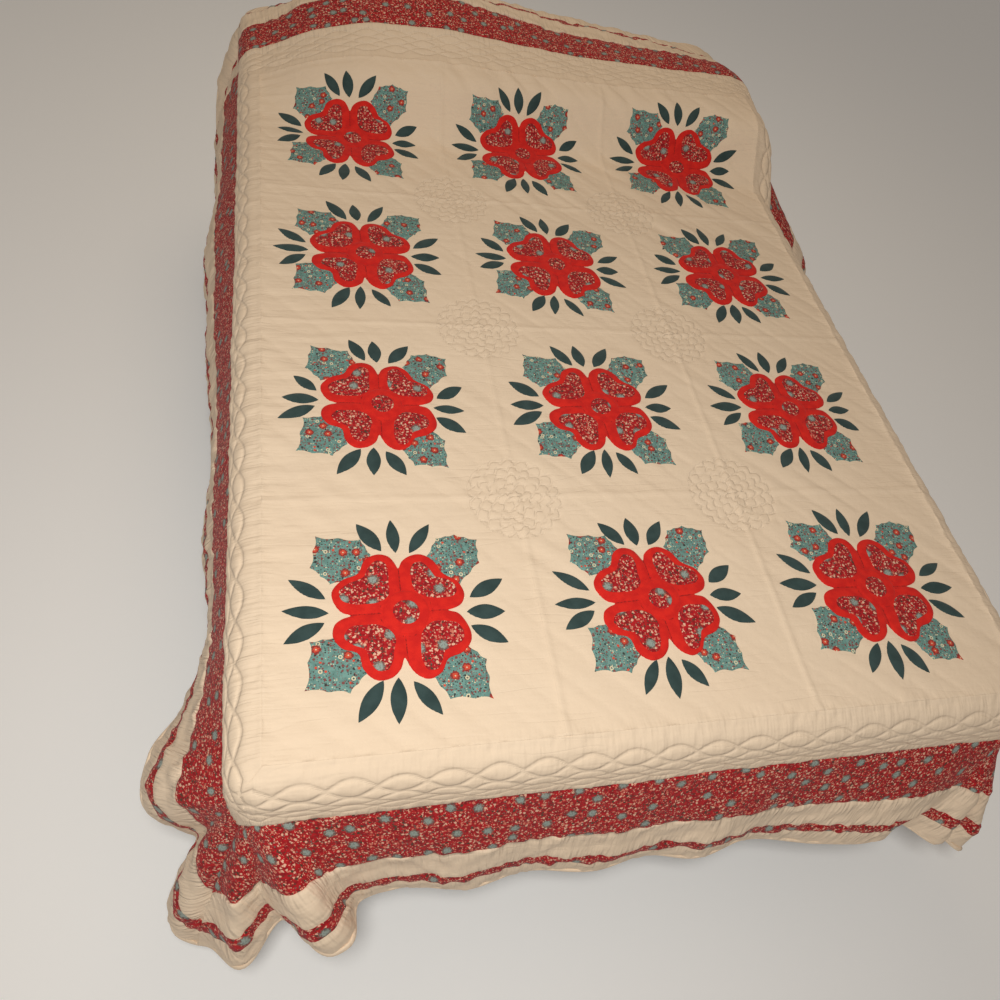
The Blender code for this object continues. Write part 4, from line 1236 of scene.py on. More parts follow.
@dataclass(frozen=True)
class QuiltedCotton:
    """Cream cotton of the quilt: faint clouds of dye, long fine puckers and short ones at the seams.

    Heights are metres. The long puckers run along u and are deepest beside the side borders. The short ones
    cross the borders' seams.
    """

    quilt: FlatQuilt
    name: str = "cream_cotton_cloth"
    colour: Triple = CREAM_DYE
    worn: Triple = (0.820, 0.635, 0.460)
    pucker: float = 0.0010
    crease: float = 0.0003
    stitched: float = 0.0012
    crumple: float = 0.0018
    thread: float = 0.00005
    tick: float = 0.0038

    def puckers(self, g: Graph, place: Socket, from_side: Socket, from_end: Socket) -> tuple[Socket, Socket]:
        """Short puckers beside the borders' seams.

        Args:
            g: the material's graph.
            place: flat coordinates.
            from_side: distance from the hem of the near side.
            from_end: distance from the hem of the near end.

        Returns:
            Their height from 0 to 1, and its full depth: greatest at a seam, less over other border cloth.
        """
        q = self.quilt
        rim = g.math("MINIMUM", from_side, from_end)
        ends, sides = g.grain(place, (125.0, 22.0, 0.0), 1.0), g.grain(place, (16.0, 230.0, 0.0), 1.0)
        ticks = g.grown(ends, g.less(sides, ends), g.step(g.less(from_side, from_end), -0.02, 0.02))
        nearest = g.apart(rim, q.red_seam)
        for seam in q.seams[1:4]:
            nearest = g.math("MINIMUM", nearest, g.apart(rim, float(seam)))
        amount = g.times(g.step(nearest, 0.004, 0.040), self.tick)
        return ticks, g.grown(amount, 0.5 * self.tick, g.step(rim, q.borders - 0.012, q.borders + 0.030))

    def material(self) -> Material:
        """Make the material."""
        g = Graph(self.name, 0.9, 0.08)
        q = self.quilt
        place = g.flat()
        colour = g.dyed(self.colour, g.noise(place, 5.0, 3.0), 0.5, self.worn)
        colour = g.dyed(colour, g.step(g.noise(place, 420.0, 2.0), 0.30, 0.42), 0.15, self.worn)
        u, v, _ = g.axes(place)
        from_side, from_end = g.less(q.half_w, g.math("ABSOLUTE", u)), g.less(q.half_l, g.math("ABSOLUTE", v))
        near_side = g.step(from_side, q.red_seam + 0.10, q.borders + 0.16)
        long = g.grain(place, (9.0, 74.0, 1.0), 2.0)
        height = g.times(long, g.grown(self.pucker, 1.5 * self.pucker, near_side))
        edge = g.apart(g.grain(place, (5.0, 38.0, 1.0), 1.0), 0.5)
        fold = g.times(g.step(edge, 0.0, 0.040), g.step(g.noise(place, 7.0, 1.0), 0.44, 0.56))
        height = g.grown(height, -self.crease, fold)
        height = g.grown(height, -self.stitched, g.step(g.mark(), 0.0006, 0.0046))
        ticks, amount = self.puckers(g, place, from_side, from_end)
        height = g.grown(height, amount, ticks)
        height = g.grown(height, self.crumple, g.grain(place, (38.0, 46.0, 1.0), 4.0))
        g.bump(g.grown(height, self.thread, g.weave(place, 900.0)), 1.0)
        return g.finish(colour)


@dataclass(frozen=True)
class PlainCotton:
    """Plain woven cotton, a little uneven in its dye, with fine creases."""

    name: str
    colour: Triple
    worn: Triple
    roughness: float = 0.88
    sheen: float = 0.12
    crease: float = 0.0008
    threads: float = 900.0

    def material(self) -> Material:
        """Make the material."""
        g = Graph(self.name, self.roughness, self.sheen)
        place = g.flat()
        colour = g.mix(g.step(g.noise(place, 45.0, 3.0), 0.30, 0.70), self.colour, self.worn)
        colour = g.dyed(colour, g.step(g.noise(place, 520.0, 2.0), 0.30, 0.45), 0.3, self.worn)
        crumple = g.grain(place, (70.0, 150.0, 1.0), 3.0)
        g.bump(g.grown(crumple, 0.08, g.weave(place, self.threads)), self.crease)
        return g.finish(colour)


@dataclass(frozen=True)
class Flecks:
    """Printed flecks of uneven size: cells a metre, and each kind's range of random numbers and dye."""

    scale: float
    kinds: tuple[tuple[float, float, Triple], ...]

    def on(self, g: Graph, place: Socket, colour: object) -> Socket:
        """Lay the flecks on a colour.

        Args:
            g: the material's graph.
            place: flat coordinates.
            colour: colour under them.

        Returns:
            The new colour.
        """
        cell = g.cells(place, self.scale)
        spot = g.step(g.grown(cell.outputs["Distance"], -0.24, g.chance(cell)[1]), 0.07, 0.15)
        for low, high, dye in self.kinds:
            colour = g.dyed(colour, spot, g.pick(cell, low, high), dye)
        return colour


@dataclass(frozen=True)
class RedPrint:
    """Red printed cotton: cream, pink and dark flecks of many sizes, with grey-blue flowers among them."""

    name: str = "red_calico_print"
    ground: Triple = (0.500, 0.012, 0.018)
    deep: Triple = (0.290, 0.008, 0.013)
    cream: Triple = (0.830, 0.500, 0.360)
    pink: Triple = (0.700, 0.220, 0.150)
    dark: Triple = (0.085, 0.055, 0.035)
    flower: Triple = (0.330, 0.390, 0.360)
    shade: Triple = (0.120, 0.145, 0.125)
    flower_scale: float = 21.0
    flower_size: float = 0.0081
    back: Triple = CREAM_DYE

    def flowers(self, g: Graph, place: Socket, colour: Socket) -> Socket:
        """Lay the ragged flowers on a colour, each with a dark rim and dark veins."""
        size = self.flower_size
        bloom = g.cells(place, self.flower_scale, 0.7)
        away = g.math("DIVIDE", bloom.outputs["Distance"], self.flower_scale)
        ragged = g.grown(away, 0.0125, g.less(g.noise(place, 330.0, 3.0), 0.5))
        shown = g.pick(bloom, 0.0, 0.90)
        colour = g.dyed(colour, g.times(g.step(ragged, size, size + 0.0016), shown), 0.75, self.shade)
        petals = g.times(g.step(ragged, size - 0.0030, size - 0.0012), shown)
        colour = g.mix(petals, colour, self.flower)
        veins = g.times(petals, g.step(g.noise(place, 420.0, 1.0), 0.38, 0.48))
        return g.dyed(colour, veins, 0.55, self.shade)

    def material(self) -> Material:
        """Make the material."""
        g = Graph(self.name, 0.86, 0.06)
        place = g.flat()
        loose = g.node("TexNoise", place)
        g.set(loose, {"Scale": 260.0})
        shift = g.vector("SUBTRACT", loose.outputs["Color"], (0.5, 0.5, 0.5))
        bent = g.vector("ADD", place, g.vector("MULTIPLY", shift, (0.006, 0.006, 0.0)))
        colour = g.mix(g.step(g.noise(place, 140.0), 0.38, 0.58), self.ground, self.deep)
        small = (0.0, 0.22, self.dark), (0.22, 0.44, self.cream)
        small += (0.44, 0.58, self.shade), (0.58, 0.76, self.pink)
        large = (0.0, 0.36, self.cream), (0.36, 0.66, self.pink), (0.66, 0.86, self.dark)
        colour = Flecks(265.0, small).on(g, g.shifted(bent, (0.37, 0.11, 0.0)), colour)
        colour = Flecks(146.0, large).on(g, bent, colour)
        colour = self.flowers(g, place, colour)
        crumple = g.grain(place, (90.0, 90.0, 1.0), 3.0)
        g.bump(g.grown(crumple, 0.06, g.weave(place, 900.0)), 0.0016)
        return g.finish(g.mix(g.step(g.mark(), BACK - 0.6, BACK - 0.4), self.back, colour))


@dataclass(frozen=True)
class TealPrint:
    """Teal printed cotton: red flowers with pale eyes, cream rings, small brown, dark and cream flecks."""

    name: str = "teal_calico_print"
    ground: Triple = (0.185, 0.362, 0.330)
    deep: Triple = (0.135, 0.270, 0.248)
    cream: Triple = (0.780, 0.700, 0.480)
    brown: Triple = (0.230, 0.080, 0.075)
    red: Triple = (0.680, 0.090, 0.050)
    rim: Triple = (0.300, 0.035, 0.030)
    dark: Triple = (0.050, 0.050, 0.048)
    flower_scale: float = 27.0

    def material(self) -> Material:
        """Make the material."""
        g = Graph(self.name, 0.87, 0.06)
        place = g.flat()
        colour = g.mix(g.step(g.noise(place, 110.0), 0.36, 0.64), self.ground, self.deep)
        small = (0.0, 0.34, self.dark), (0.34, 0.50, self.cream), (0.50, 0.80, self.brown)
        large = (0.0, 0.52, self.brown), (0.52, 0.66, self.dark), (0.66, 0.74, self.red)
        colour = Flecks(290.0, small).on(g, g.shifted(place, (0.17, 0.31, 0.0)), colour)
        colour = Flecks(150.0, large).on(g, place, colour)
        ring = g.cells(g.shifted(place, (0.21, 0.43, 0.0)), 62.0)
        band = g.step(g.apart(ring.outputs["Distance"], 0.15), 0.035, 0.065)
        colour = g.dyed(colour, band, g.pick(ring, 0.72, 1.0), self.cream)
        bloom = g.cells(g.shifted(place, (0.57, 0.19, 0.0)), self.flower_scale, 0.8)
        away = g.math("DIVIDE", bloom.outputs["Distance"], self.flower_scale)
        ragged = g.grown(away, 0.0070, g.less(g.noise(place, 300.0, 1.0), 0.5))
        shown = g.pick(bloom, 0.18, 1.0)
        for distance, low, high, dye in (
            (ragged, 0.0064, 0.0078, self.rim),
            (ragged, 0.0036, 0.0050, self.red),
            (away, 0.0007, 0.0015, self.cream),
        ):
            colour = g.dyed(colour, g.step(distance, low, high), shown, dye)
        g.bump(g.noise(place, 160.0, 3.0), 0.0008)
        return g.finish(colour)


@dataclass(frozen=True)
class StitchedRed:
    """Plain red cotton with a dark dashed line where the mark runs near zero: the stitches, and painted shade
    in their grooves.
    """

    name: str = "plain_red_cotton"
    colour: Triple = (0.760, 0.020, 0.012)
    worn: Triple = (0.640, 0.013, 0.010)
    # dark red of the stitched ring and of the valleys between the petals: the thread, and painted shade of
    # their grooves
    thread: Triple = (0.240, 0.008, 0.008)

    def material(self) -> Material:
        """Make the material."""
        g = Graph(self.name, 0.82, 0.08)
        place = g.flat()
        colour = g.mix(g.step(g.noise(place, 60.0, 3.0), 0.35, 0.65), self.colour, self.worn)
        # painted line of stitches and groove shade, broken into dashes by noise
        stitch_and_shade_dash = g.grown(0.3, 0.5, g.step(g.noise(place, 260.0, 0.0), 0.46, 0.54))
        colour = g.dyed(colour, g.step(g.mark(), 0.0005, 0.0014), stitch_and_shade_dash, self.thread)
        g.bump(g.grown(g.noise(place, 75.0, 3.0), 0.05, g.weave(place, 900.0)), 0.0013)
        return g.finish(colour)


@dataclass(frozen=True)
class StripedTicking:
    """Off-white mattress cloth with fine woven stripes along the bed."""

    name: str = "striped_ticking"
    ground: Triple = (0.74, 0.72, 0.67)
    stripe: Triple = (0.22, 0.27, 0.36)
    gap: float = 0.024

    def material(self) -> Material:
        """Make the material."""
        g = Graph(self.name, 0.9, 0.1)
        place = g.flat()
        wave = g.math("ABSOLUTE", g.math("SINE", g.times(g.axes(place)[0], math.pi / self.gap)))
        colour = g.dyed(self.ground, g.step(wave, 0.08, 0.16), 0.8, self.stripe)
        colour = g.dyed(colour, g.step(g.apart(wave, 0.42), 0.03, 0.06), 0.6, self.stripe)
        g.bump(g.grown(g.noise(place, 90.0, 3.0), 0.3, g.weave(place, 700.0)), 0.0006)
        return g.finish(colour)


@dataclass(frozen=True)
class CoarseCloth:
    """Dark coarse cloth of the bed base."""

    name: str = "dark_base_cloth"
    colour: Triple = (0.046, 0.044, 0.038)
    faded: Triple = (0.085, 0.080, 0.066)

    def material(self) -> Material:
        """Make the material."""
        g = Graph(self.name, 0.93, 0.2)
        place = g.solid()
        colour = g.mix(g.step(g.noise(place, 9.0, 4.0), 0.35, 0.7), self.colour, self.faded)
        colour = g.dyed(colour, g.step(g.noise(place, 480.0), 0.40, 0.55), 0.4, self.faded)
        g.bump(g.grown(g.noise(place, 40.0, 3.0), 0.6, g.noise(place, 500.0, 2.0)), 0.0012)
        return g.finish(colour)


@dataclass(frozen=True)
class DarkWood:
    """Dark stained wood, its grain drawn out along one axis."""

    name: str
    along: int
    colour: Triple = (0.042, 0.028, 0.018)
    grain: Triple = (0.015, 0.010, 0.007)

    def material(self) -> Material:
        """Make the material."""
        g = Graph(self.name, 0.45)
        g.set(g.shader, {"Coat Weight": 0.15, "Coat Roughness": 0.35})
        scale = tuple(4.0 if axis == self.along else 60.0 for axis in range(3))
        place = g.vector("MULTIPLY", g.solid(), scale)
        rings = g.noise(place, 1.0, 4.0)
        g.bump(g.grown(rings, 0.5, g.grain(place, (6.0, 6.0, 6.0), 2.0)), 0.0004)
        return g.finish(g.mix(g.step(rings, 0.42, 0.60), self.colour, self.grain))


@dataclass
class Finishes:
    """Materials of all the pieces."""

    quilt: FlatQuilt

    def __post_init__(self) -> None:
        """Make each material once."""
        green = PlainCotton("dark_green_cotton", (0.042, 0.078, 0.078), (0.028, 0.056, 0.056), 0.85, 0.15)
        pillow = PlainCotton("white_pillow_cotton", (0.80, 0.78, 0.73), (0.74, 0.71, 0.65), 0.9, 0.1, 0.0012)
        self.cream = QuiltedCotton(self.quilt).material()
        self.red_print = RedPrint().material()
        self.red = StitchedRed().material()
        self.teal = TealPrint().material()
        self.green = green.material()
        self.ticking = StripedTicking().material()
        self.base = CoarseCloth().material()
        self.wood = [DarkWood(f"dark_wood_grain_{axis}", axis).material() for axis in range(3)]
        self.pillow = pillow.material()


@dataclass(frozen=True)
class Strip:
    """One border: its name, its distances from the hem, its grid and its cloth.

    The grid has so many cells across the strip and, at the ends and the sides of the bed, so many along it.
    """

    kind: str
    start: float
    end: float
    rows: int
    columns: tuple[int, int]
    keep: tuple[int, int]
    printed: bool


@dataclass
class Quilt:
    """The quilt's twelve blocks, borders and binding."""

    drape: Drape
    sewing: Sewing
    finishes: Finishes
    block_cells: int = 100
    block_keep: int = 10
    rim: float = 0.0003
    binding_cells: tuple[int, int] = (264, 320)
    binding_ring: int = 12
    binding_clear: float = 0.0006
    binding_middle: float = 0.42
    binding_high: float = 0.62
    binding_power: float = 0.8
    binding_map: float = 0.7
    binding_uneven: float = 0.10
    binding_saved: float = 0.03

    def strips(self) -> list[Strip]:
        """The borders from the hem inward."""
        seams = self.drape.quilt.seams
        return [
            Strip("outer_cream", *seams[0:2], 9, (384, 464), (3, 2), False),
            Strip("narrow_red", *seams[1:3], 6, (384, 464), (3, 2), True),
            Strip("cream_strip", *seams[2:4], 14, (384, 464), (2, 2), False),
            Strip("wide_red", *seams[3:5], 20, (324, 432), (2, 2), True),
            Strip("inner_border", *seams[4:6], 56, (324, 432), (4, 4), False),
        ]

    def sheet(self, u: Array, v: Array, keep: tuple[int, int]) -> Mesh:
        """A closed slab of the quilt over a grid of flat points.

        Args:
            u: first flat coordinates of the grid.
            v: second flat coordinates.
            keep: rows and columns of the face for each of the under-face.

        Returns:
            The gathered mesh, marked with the distance from the stitched lines.
        """
        low_u, low_v = u[:: keep[0], :: keep[1]], v[:: keep[0], :: keep[1]]
        top = self.drape.raised(u, v, self.sewing.thickness(u, v))
        under = self.drape.cloth(low_u, low_v)
        turned = (u[0, 1] - u[0, 0]) * (v[1, 0] - v[0, 0]) < (v[0, 1] - v[0, 0]) * (u[1, 0] - u[0, 0])
        points = np.concatenate([top.reshape(-1, 3), under.reshape(-1, 3)])
        flat = np.concatenate([np.stack(grid, -1).reshape(-1, 2) for grid in ((u, v), (low_u, low_v))])
        marks = np.concatenate([self.sewing.drawn(u, v)[0].ravel(), np.full(low_u.size, BACK)])
        mesh = Mesh()
        mesh.add(points, flat, slab_faces(*u.shape, *keep, turned), marks)
        return mesh

    def blocks(self) -> None:
        """The twelve blocks of the field, each a grid of its own square of cloth."""
        q = self.drape.quilt
        line = rimmed(0, q.block, self.block_cells, self.rim)
        for motif in self.sewing.motifs:
            start_u, start_v = motif.column * q.block - q.field_w, motif.row * q.block - q.field_l
            u, v = np.meshgrid(start_u + line, start_v + line)
            mesh = self.sheet(u, v, (self.block_keep, self.block_keep))
            piece = mesh.build(f"block_{motif.label}", self.finishes.cream, Slot.CREAM)
            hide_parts("field")
            rests = ["mattress_cover"]
            if motif.row == q.rows - 1:
                rests += ["pillow_a", "pillow_b"]

    def strip_grid(self, side: Side, strip: Strip) -> tuple[Array, Array]:
        """Flat points of one side's strip.

        Rows run from the hem inward and columns from end to end, each at a share of the row's own length, so
        that the ends lie on the mitre.
        """
        q = self.drape.quilt
        along = side in (Side.LEFT, Side.RIGHT)
        inward = rimmed(strip.start, strip.end, strip.rows, self.rim)[:, None]
        share = rimmed(-1, 1, strip.columns[along], self.rim)[None]
        far = -1.0 if side in (Side.FOOT, Side.LEFT) else 1.0
        length, out = (q.half_l, q.half_w) if along else (q.half_w, q.half_l)
        run = share * (length - inward)
        place = np.broadcast_to(far * (out - inward), run.shape)
        return (place, run) if along else (run, place)

    def borders(self) -> None:
        """Four mitred strips of each border."""
        q = self.drape.quilt
        for strip in self.strips():
            material, slot = self.finishes.cream, Slot.CREAM
            if strip.printed:
                material, slot = self.finishes.red_print, Slot.RED_PRINT
            for side in Side:
                name = f"{strip.kind}_{side.value}"
                mesh = self.sheet(*self.strip_grid(side, strip), strip.keep)
                piece = mesh.build(f"{name}_cloth", material, slot)
                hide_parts(name)
                half = q.half_l if side in (Side.LEFT, Side.RIGHT) else q.half_w

    def binding(self) -> None:
        """A rolled ring over the hem: an oval carried round it, square to the cloth."""
        q = self.drape.quilt
        half = q.binding / 2
        w, l = q.half_w - half, q.half_l - half
        corners = np.array(CORNERS) * (w, l)
        line = []
        for corner, ahead, cells in zip(corners, np.roll(corners, -1, 0), self.binding_cells * 2):
            share = np.linspace(0, 1, cells, endpoint=False)[:, None]
            line.append(corner + (ahead - corner) * share)
        u, v = np.concatenate(line).T
        middle = self.drape.raised(u, v, np.full(u.shape, q.thick * self.binding_middle))
        up = self.drape.normal(u, v)
        out = unit(np.cross(np.roll(middle, -1, 0) - np.roll(middle, 1, 0), up))
        angle = np.linspace(0, 2 * math.pi, self.binding_ring, endpoint=False)
        level = np.cos(angle)
        wide = np.sign(level) * np.abs(level) ** self.binding_power * (half + self.binding_clear)
        high = np.sin(angle) * q.thick * self.binding_high
        uneven = 1 + self.binding_uneven * soft_noise(u, v, (0.02, 0.02), 0, 12)
        points = middle[:, None] + out[:, None] * wide[None, :, None]
        points = points + up[:, None] * (high[None, :, None] * uneven[:, None, None])
        index = np.arange(len(u) * len(wide)).reshape(len(u), len(wide))
        after = np.roll(index, -1, 0)
        faces = np.stack([index, after, np.roll(after, -1, 1), np.roll(index, -1, 1)], -1).reshape(-1, 4)
        flat = np.stack([u, v], -1)[:, None] + wide[None, :, None] * self.binding_map
        mesh = Mesh()
        mesh.add(points, flat, [faces], self.sewing.far)
        piece = mesh.build("binding_cloth", self.finishes.cream, Slot.CREAM)
        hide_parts("binding")
        size = (q.binding + q.thick, q.turn - self.binding_saved)

    def build(self) -> None:
        """Make every piece of the quilt but the applique."""
        self.blocks()
        self.borders()
        self.binding()


@dataclass
class Applique:
    """The patches sewn on the blocks: each is its outline drawn in to its middle, domed at its turned rim."""

    drape: Drape
    sewing: Sewing
    finishes: Finishes
    rim: float = 0.0026
    rim_share: float = 0.35
    rim_low: float = 0.0003
    ring_step: float = 0.0072
    sunk: float = 0.0011
    tuck_depth: float = 0.0016
    tuck_start: float = 0.004
    tuck_wide: float = 0.006
    flower_middle: Pair = (-0.012, 0.001)
    valley_deep: float = 0.0013
    valley_wide: float = 0.010
    puff_high: float = 0.0008
    puff_ring: float = 0.155
    puff_wide: float = 0.05
    stitch_ring: float = 1.10
    sheet_share: float = 0.8

    def tucked(self, spot: Array, motif: Motif) -> Array:
        """How far a leaf sinks where it runs under the flower.

        Args:
            spot: points of the leaf, as points of the motif.
            motif: the block's motif.

        Returns:
            The depth at each point, full inside the flower's outline and none a little way out of it.
        """
        edge = motif.unplaced(motif.flower)
        way = np.arctan2(edge[:, 1], edge[:, 0])
        order = np.argsort(way)
        angle = np.arctan2(spot[:, 1], spot[:, 0])
        bound = np.interp(angle, way[order], np.hypot(*edge[order].T), period=2 * math.pi)
        past = (np.hypot(*spot.T) - bound) * motif.quilt.block
        return self.tuck_depth * (1 - np.clip((past + self.tuck_start) / self.tuck_wide, 0, 1))

    def puffed(self, spot: Array, motif: Motif) -> tuple[Array, Array]:
        """Height of the flower's petals over its cloth, and its distance from the stitched lines.

        Args:
            spot: points of the flower, as points of the motif.
            motif: the block's motif.

        Returns:
            The height: a swelling round the middle, parted by the two valleys between the petals. Then the
            distance from the nearer of those valleys and the ring sewn round the disc.
        """
        r = np.hypot(*spot.T)
        valley = np.abs(spot - self.flower_middle).min(1)
        height = self.puff_high * bell(r - self.puff_ring, self.puff_wide)
        height -= self.valley_deep * bell(valley, self.valley_wide) * (r > motif.disc)
        ring = np.abs(r - motif.disc * self.stitch_ring)
        return height, np.minimum(ring, np.where(r > motif.disc, valley, ring)) * motif.quilt.block

    def patch(self, mesh: Mesh, outline: Array, lift: float, motif: Motif, part: Part) -> None:
        """Add a patch to a mesh.

        Each ring is the outline drawn toward the middle by a share; its height is the sewn cloth's own, plus
        the lift over a quarter round at the rim.

        Args:
            mesh: mesh that gathers the patches.
            outline: flat outline, counter-clockwise or not.
            lift: height of the patch over the cloth.
            motif: the block's motif.
            part: the part of the motif that the patch is.
        """
        if turn_area(outline) < 0:
            outline = outline[::-1]
        middle = outline.mean(0)
        reach = np.linalg.norm(outline - middle, axis=1)
        size = float(reach.mean())
        inner = np.linspace(0, 1 - self.rim / size, max(2, int(size / self.ring_step)) + 1)[1:]
        shares = np.concatenate([inner, [1 - self.rim_share * self.rim / size, 1.0]])
        flat = middle + (outline - middle)[None] * shares[:, None, None]
        flat = np.concatenate([middle[None], flat.reshape(-1, 2)])
        share = np.concatenate([[0.0], np.repeat(shares, len(outline))])
        local = np.concatenate([[size], np.tile(reach, len(shares))])
        inward = np.clip((1 - share) * local / self.rim, 0, 1)
        height = -self.rim_low + (lift + self.rim_low) * np.sqrt(1 - (1 - inward) ** 2)
        mark = np.full(len(flat), self.sewing.far)
        if part is Part.LEAVES:
            height -= self.tucked(motif.unplaced(flat), motif)
        if part is Part.FLOWER:
            puff, mark = self.puffed(motif.unplaced(flat), motif)
            height += puff
        thick = self.sewing.thickness(*flat.T)
        top = self.drape.raised(*flat.T, thick + height)
        rings, count = len(shares), len(outline)
        low = np.append(1 + (rings // 2 - 1) * count + np.arange(count), 0)
        under = self.drape.raised(*flat[low].T, thick[low] + np.minimum(height[low], 0) - self.sunk)
        points, flat = np.concatenate([top, under]), np.concatenate([flat, flat[low]])
        mark = np.concatenate([mark, np.full(len(low), self.sewing.far)])
        mesh.add(points, flat, fan_faces(rings + 1, count), mark)

    def build(self) -> None:
        """Make the patches of every block, each kind as one piece."""
        f = self.finishes
        for motif in self.sewing.motifs:
            for part, outlines, lift, material, slot in (
                (Part.LEAVES, motif.leaves, 0.0010, f.teal, Slot.TEAL),
                (Part.FLOWER, [motif.flower], 0.0014, f.red, Slot.RED),
                (Part.HEARTS, motif.hearts, 0.0024, f.red_print, Slot.RED_PRINT),
                (Part.CENTRE, [motif.centre], 0.0020, f.red, Slot.RED),
                (Part.CENTRE_PRINT, [motif.print_centre], 0.0028, f.red_print, Slot.RED_PRINT),
                (Part.BLADES, motif.blades, 0.0010, f.green, Slot.TEAL),
            ):
                mesh = Mesh()
                for outline in outlines:
                    self.patch(mesh, outline, lift, motif, part)
                piece = mesh.build(f"{part.value}_{motif.label}", material, slot)
                if part in REPLACED:
                    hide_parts(f"{REPLACED[part]}_{motif.label}")


@dataclass
class Bed:
    """Mattress, pillows, base and frame under the quilt."""

    drape: Drape
    finishes: Finishes
    corner: float = 0.075
    corner_cells: int = 26
    plan_cells: int = 4
    edge: float = 0.060
    edge_cells: int = 12
    side_cells: int = 18
    piping: float = 0.0022
    piping_wide: float = 0.004
    side_quilting: float = 0.0015
    top_shares: Triple = (0.25, 0.5, 0.75)
    bottom_share: float = 0.5
    pillow_cells: tuple[int, int] = (60, 44)
    pillow_keep: int = 4
    pillow_from: float = 1.3
    pillow_clear: float = 0.010
    pillow_rim: float = 0.012
    pillow_front: float = 0.0264
    pillow_base: float = 0.0008
    pillow_dent: float = 0.004
    line_cells: int = 900

    def mattress(self) -> None:
        """Mattress: a rounded rectangle drawn in over its edges by a quarter round, a corded seam at each.

        Its rings run from the top lid down over the side to the bottom lid, between a pole on each.
        """
        low, high = (np.array(c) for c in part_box("mattress"))
        half = (high - low) / 2
        signs = np.array([(1, 1), (-1, 1), (-1, -1), (1, -1)])[:, None]
        angle = np.linspace(0, np.pi / 2, self.corner_cells) + np.arange(4)[:, None] * np.pi / 2
        arcs = signs * (half[:2] - self.corner) + self.corner * np.stack([np.cos(angle), np.sin(angle)], -1)
        plan = arcs.reshape(-1, 2)
        plan = np.linspace(plan, np.roll(plan, -1, 0), self.plan_cells, endpoint=False, axis=1).reshape(-1, 2)
        angle = np.linspace(0, np.pi / 2, self.edge_cells)[1:]
        tall = half[2] - self.edge
        curl, rise = self.edge * (1 - np.cos(angle)), self.edge * np.sin(angle)
        z = np.concatenate([tall + rise[::-1], np.linspace(tall, -tall, self.side_cells), -tall - rise])
        drawn = np.concatenate([curl[::-1], np.zeros(self.side_cells), curl])
        quilted = -self.side_quilting * np.cos(z / tall * 2 * np.pi) * (np.abs(z) < tall)
        drawn = drawn - bell(np.abs(z) - tall, self.piping_wide) * self.piping + np.maximum(quilted, 0)
        outward = plan / np.maximum(np.abs(plan), 1e-9)
        side = outward * np.maximum(np.abs(plan) - drawn[:, None, None], 0)
        lid = side[0] * np.array(self.top_shares)[:, None, None]
        rings = np.concatenate([lid, side, side[-1:] * self.bottom_share])
        heights = np.concatenate([np.full(len(lid), z[0]), z, z[-1:]])[:, None, None]
        rings = np.concatenate([rings, np.broadcast_to(heights, (*rings.shape[:2], 1))], -1)
        points = np.concatenate([[[0, 0, z[0]]], rings.reshape(-1, 3), [[0, 0, z[-1]]]]) + (low + high) / 2
        mesh = Mesh()
        mesh.add(points, points[:, :2] + points[:, 2:] * 0.5, fan_faces(len(rings), len(plan)))
        piece = mesh.build("mattress_cover", self.finishes.ticking, Slot.TICKING)
        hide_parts("mattress")

    def pillow(self, name: str, node: str, seed: int) -> None:
        """A pillow in the room that the raised quilt leaves over the mattress.

        Its face follows the under-face of the quilt, less a clearance, and falls to a rim at both ends and
        sides by a flattened round, with soft dents; its underside is level.
        """
        low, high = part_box(node)
        columns, rows = self.pillow_cells
        drape = self.drape
        x = np.linspace(low[0], high[0], columns + 1) - drape.origin[0]
        share = 0.5 - 0.5 * np.cos(np.linspace(0, np.pi, rows + 1))
        end = np.clip(1 - np.abs(2 * share - 1) ** 5, 0, 1) ** 0.5
        swell = (1 - np.abs(np.linspace(-1, 1, columns + 1)) ** 4) ** 0.5
        full = np.minimum(end[:, None], swell[None])
        v = np.linspace(self.pillow_from * drape.quilt.block, drape.flat_head, self.line_cells)
        line = drape.lying(np.clip(x, -drape.flat_x, drape.flat_x)[:, None], v[None])
        height = line[..., 2] + drape.top_clear - self.pillow_clear
        top = np.zeros((rows + 1, columns + 1, 3))
        for k in range(columns + 1):
            crest = np.argmax(height[k])
            front = np.interp(self.pillow_front, height[k, :crest], line[k, :crest, 1])
            y = front + (line[k, -1, 1] - front) * share
            z = self.pillow_rim + (np.interp(y, line[k, :, 1], height[k]) - self.pillow_rim) * full[:, k]
            top[:, k] = np.stack([np.full(rows + 1, x[k]), y, z], -1)
        dents = soft_noise(top[..., 0], top[..., 1], (0.09, 0.05), 20.0, seed)
        top[..., 2] -= self.pillow_dent * (0.5 + 0.5 * dents) * full
        keep = self.pillow_keep
        under = top[::keep, ::keep].copy()
        under[..., 2] = self.pillow_base
        points = np.concatenate([top.reshape(-1, 3), under.reshape(-1, 3)]) + drape.origin
        mesh = Mesh()
        mesh.add(points, points[:, :2], slab_faces(rows + 1, columns + 1, keep, keep))
        piece = mesh.build(name, self.finishes.pillow, Slot.PILLOW)
        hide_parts(node)

    def frame(self) -> None:
        """Materials of the base, rails and legs, whose solids stay."""
        across, along, upright = self.finishes.wood
        dressed = {"foundation": self.finishes.base}
        dressed |= {"foot_rail": across, "head_rail": across, "left_rail": along, "right_rail": along}
        dressed |= {f"leg_{row}_{side}": upright for row in ("foot", "head") for side in ("left", "right")}
        for node, material in dressed.items():
            bpy.data.objects[node].material_slots[0].material = material

    def build(self) -> None:
        """Make the bed's pieces."""
        self.mattress()
        self.pillow("pillow_a", "pillow_left", 21)
        self.pillow("pillow_b", "pillow_right", 22)
        self.frame()


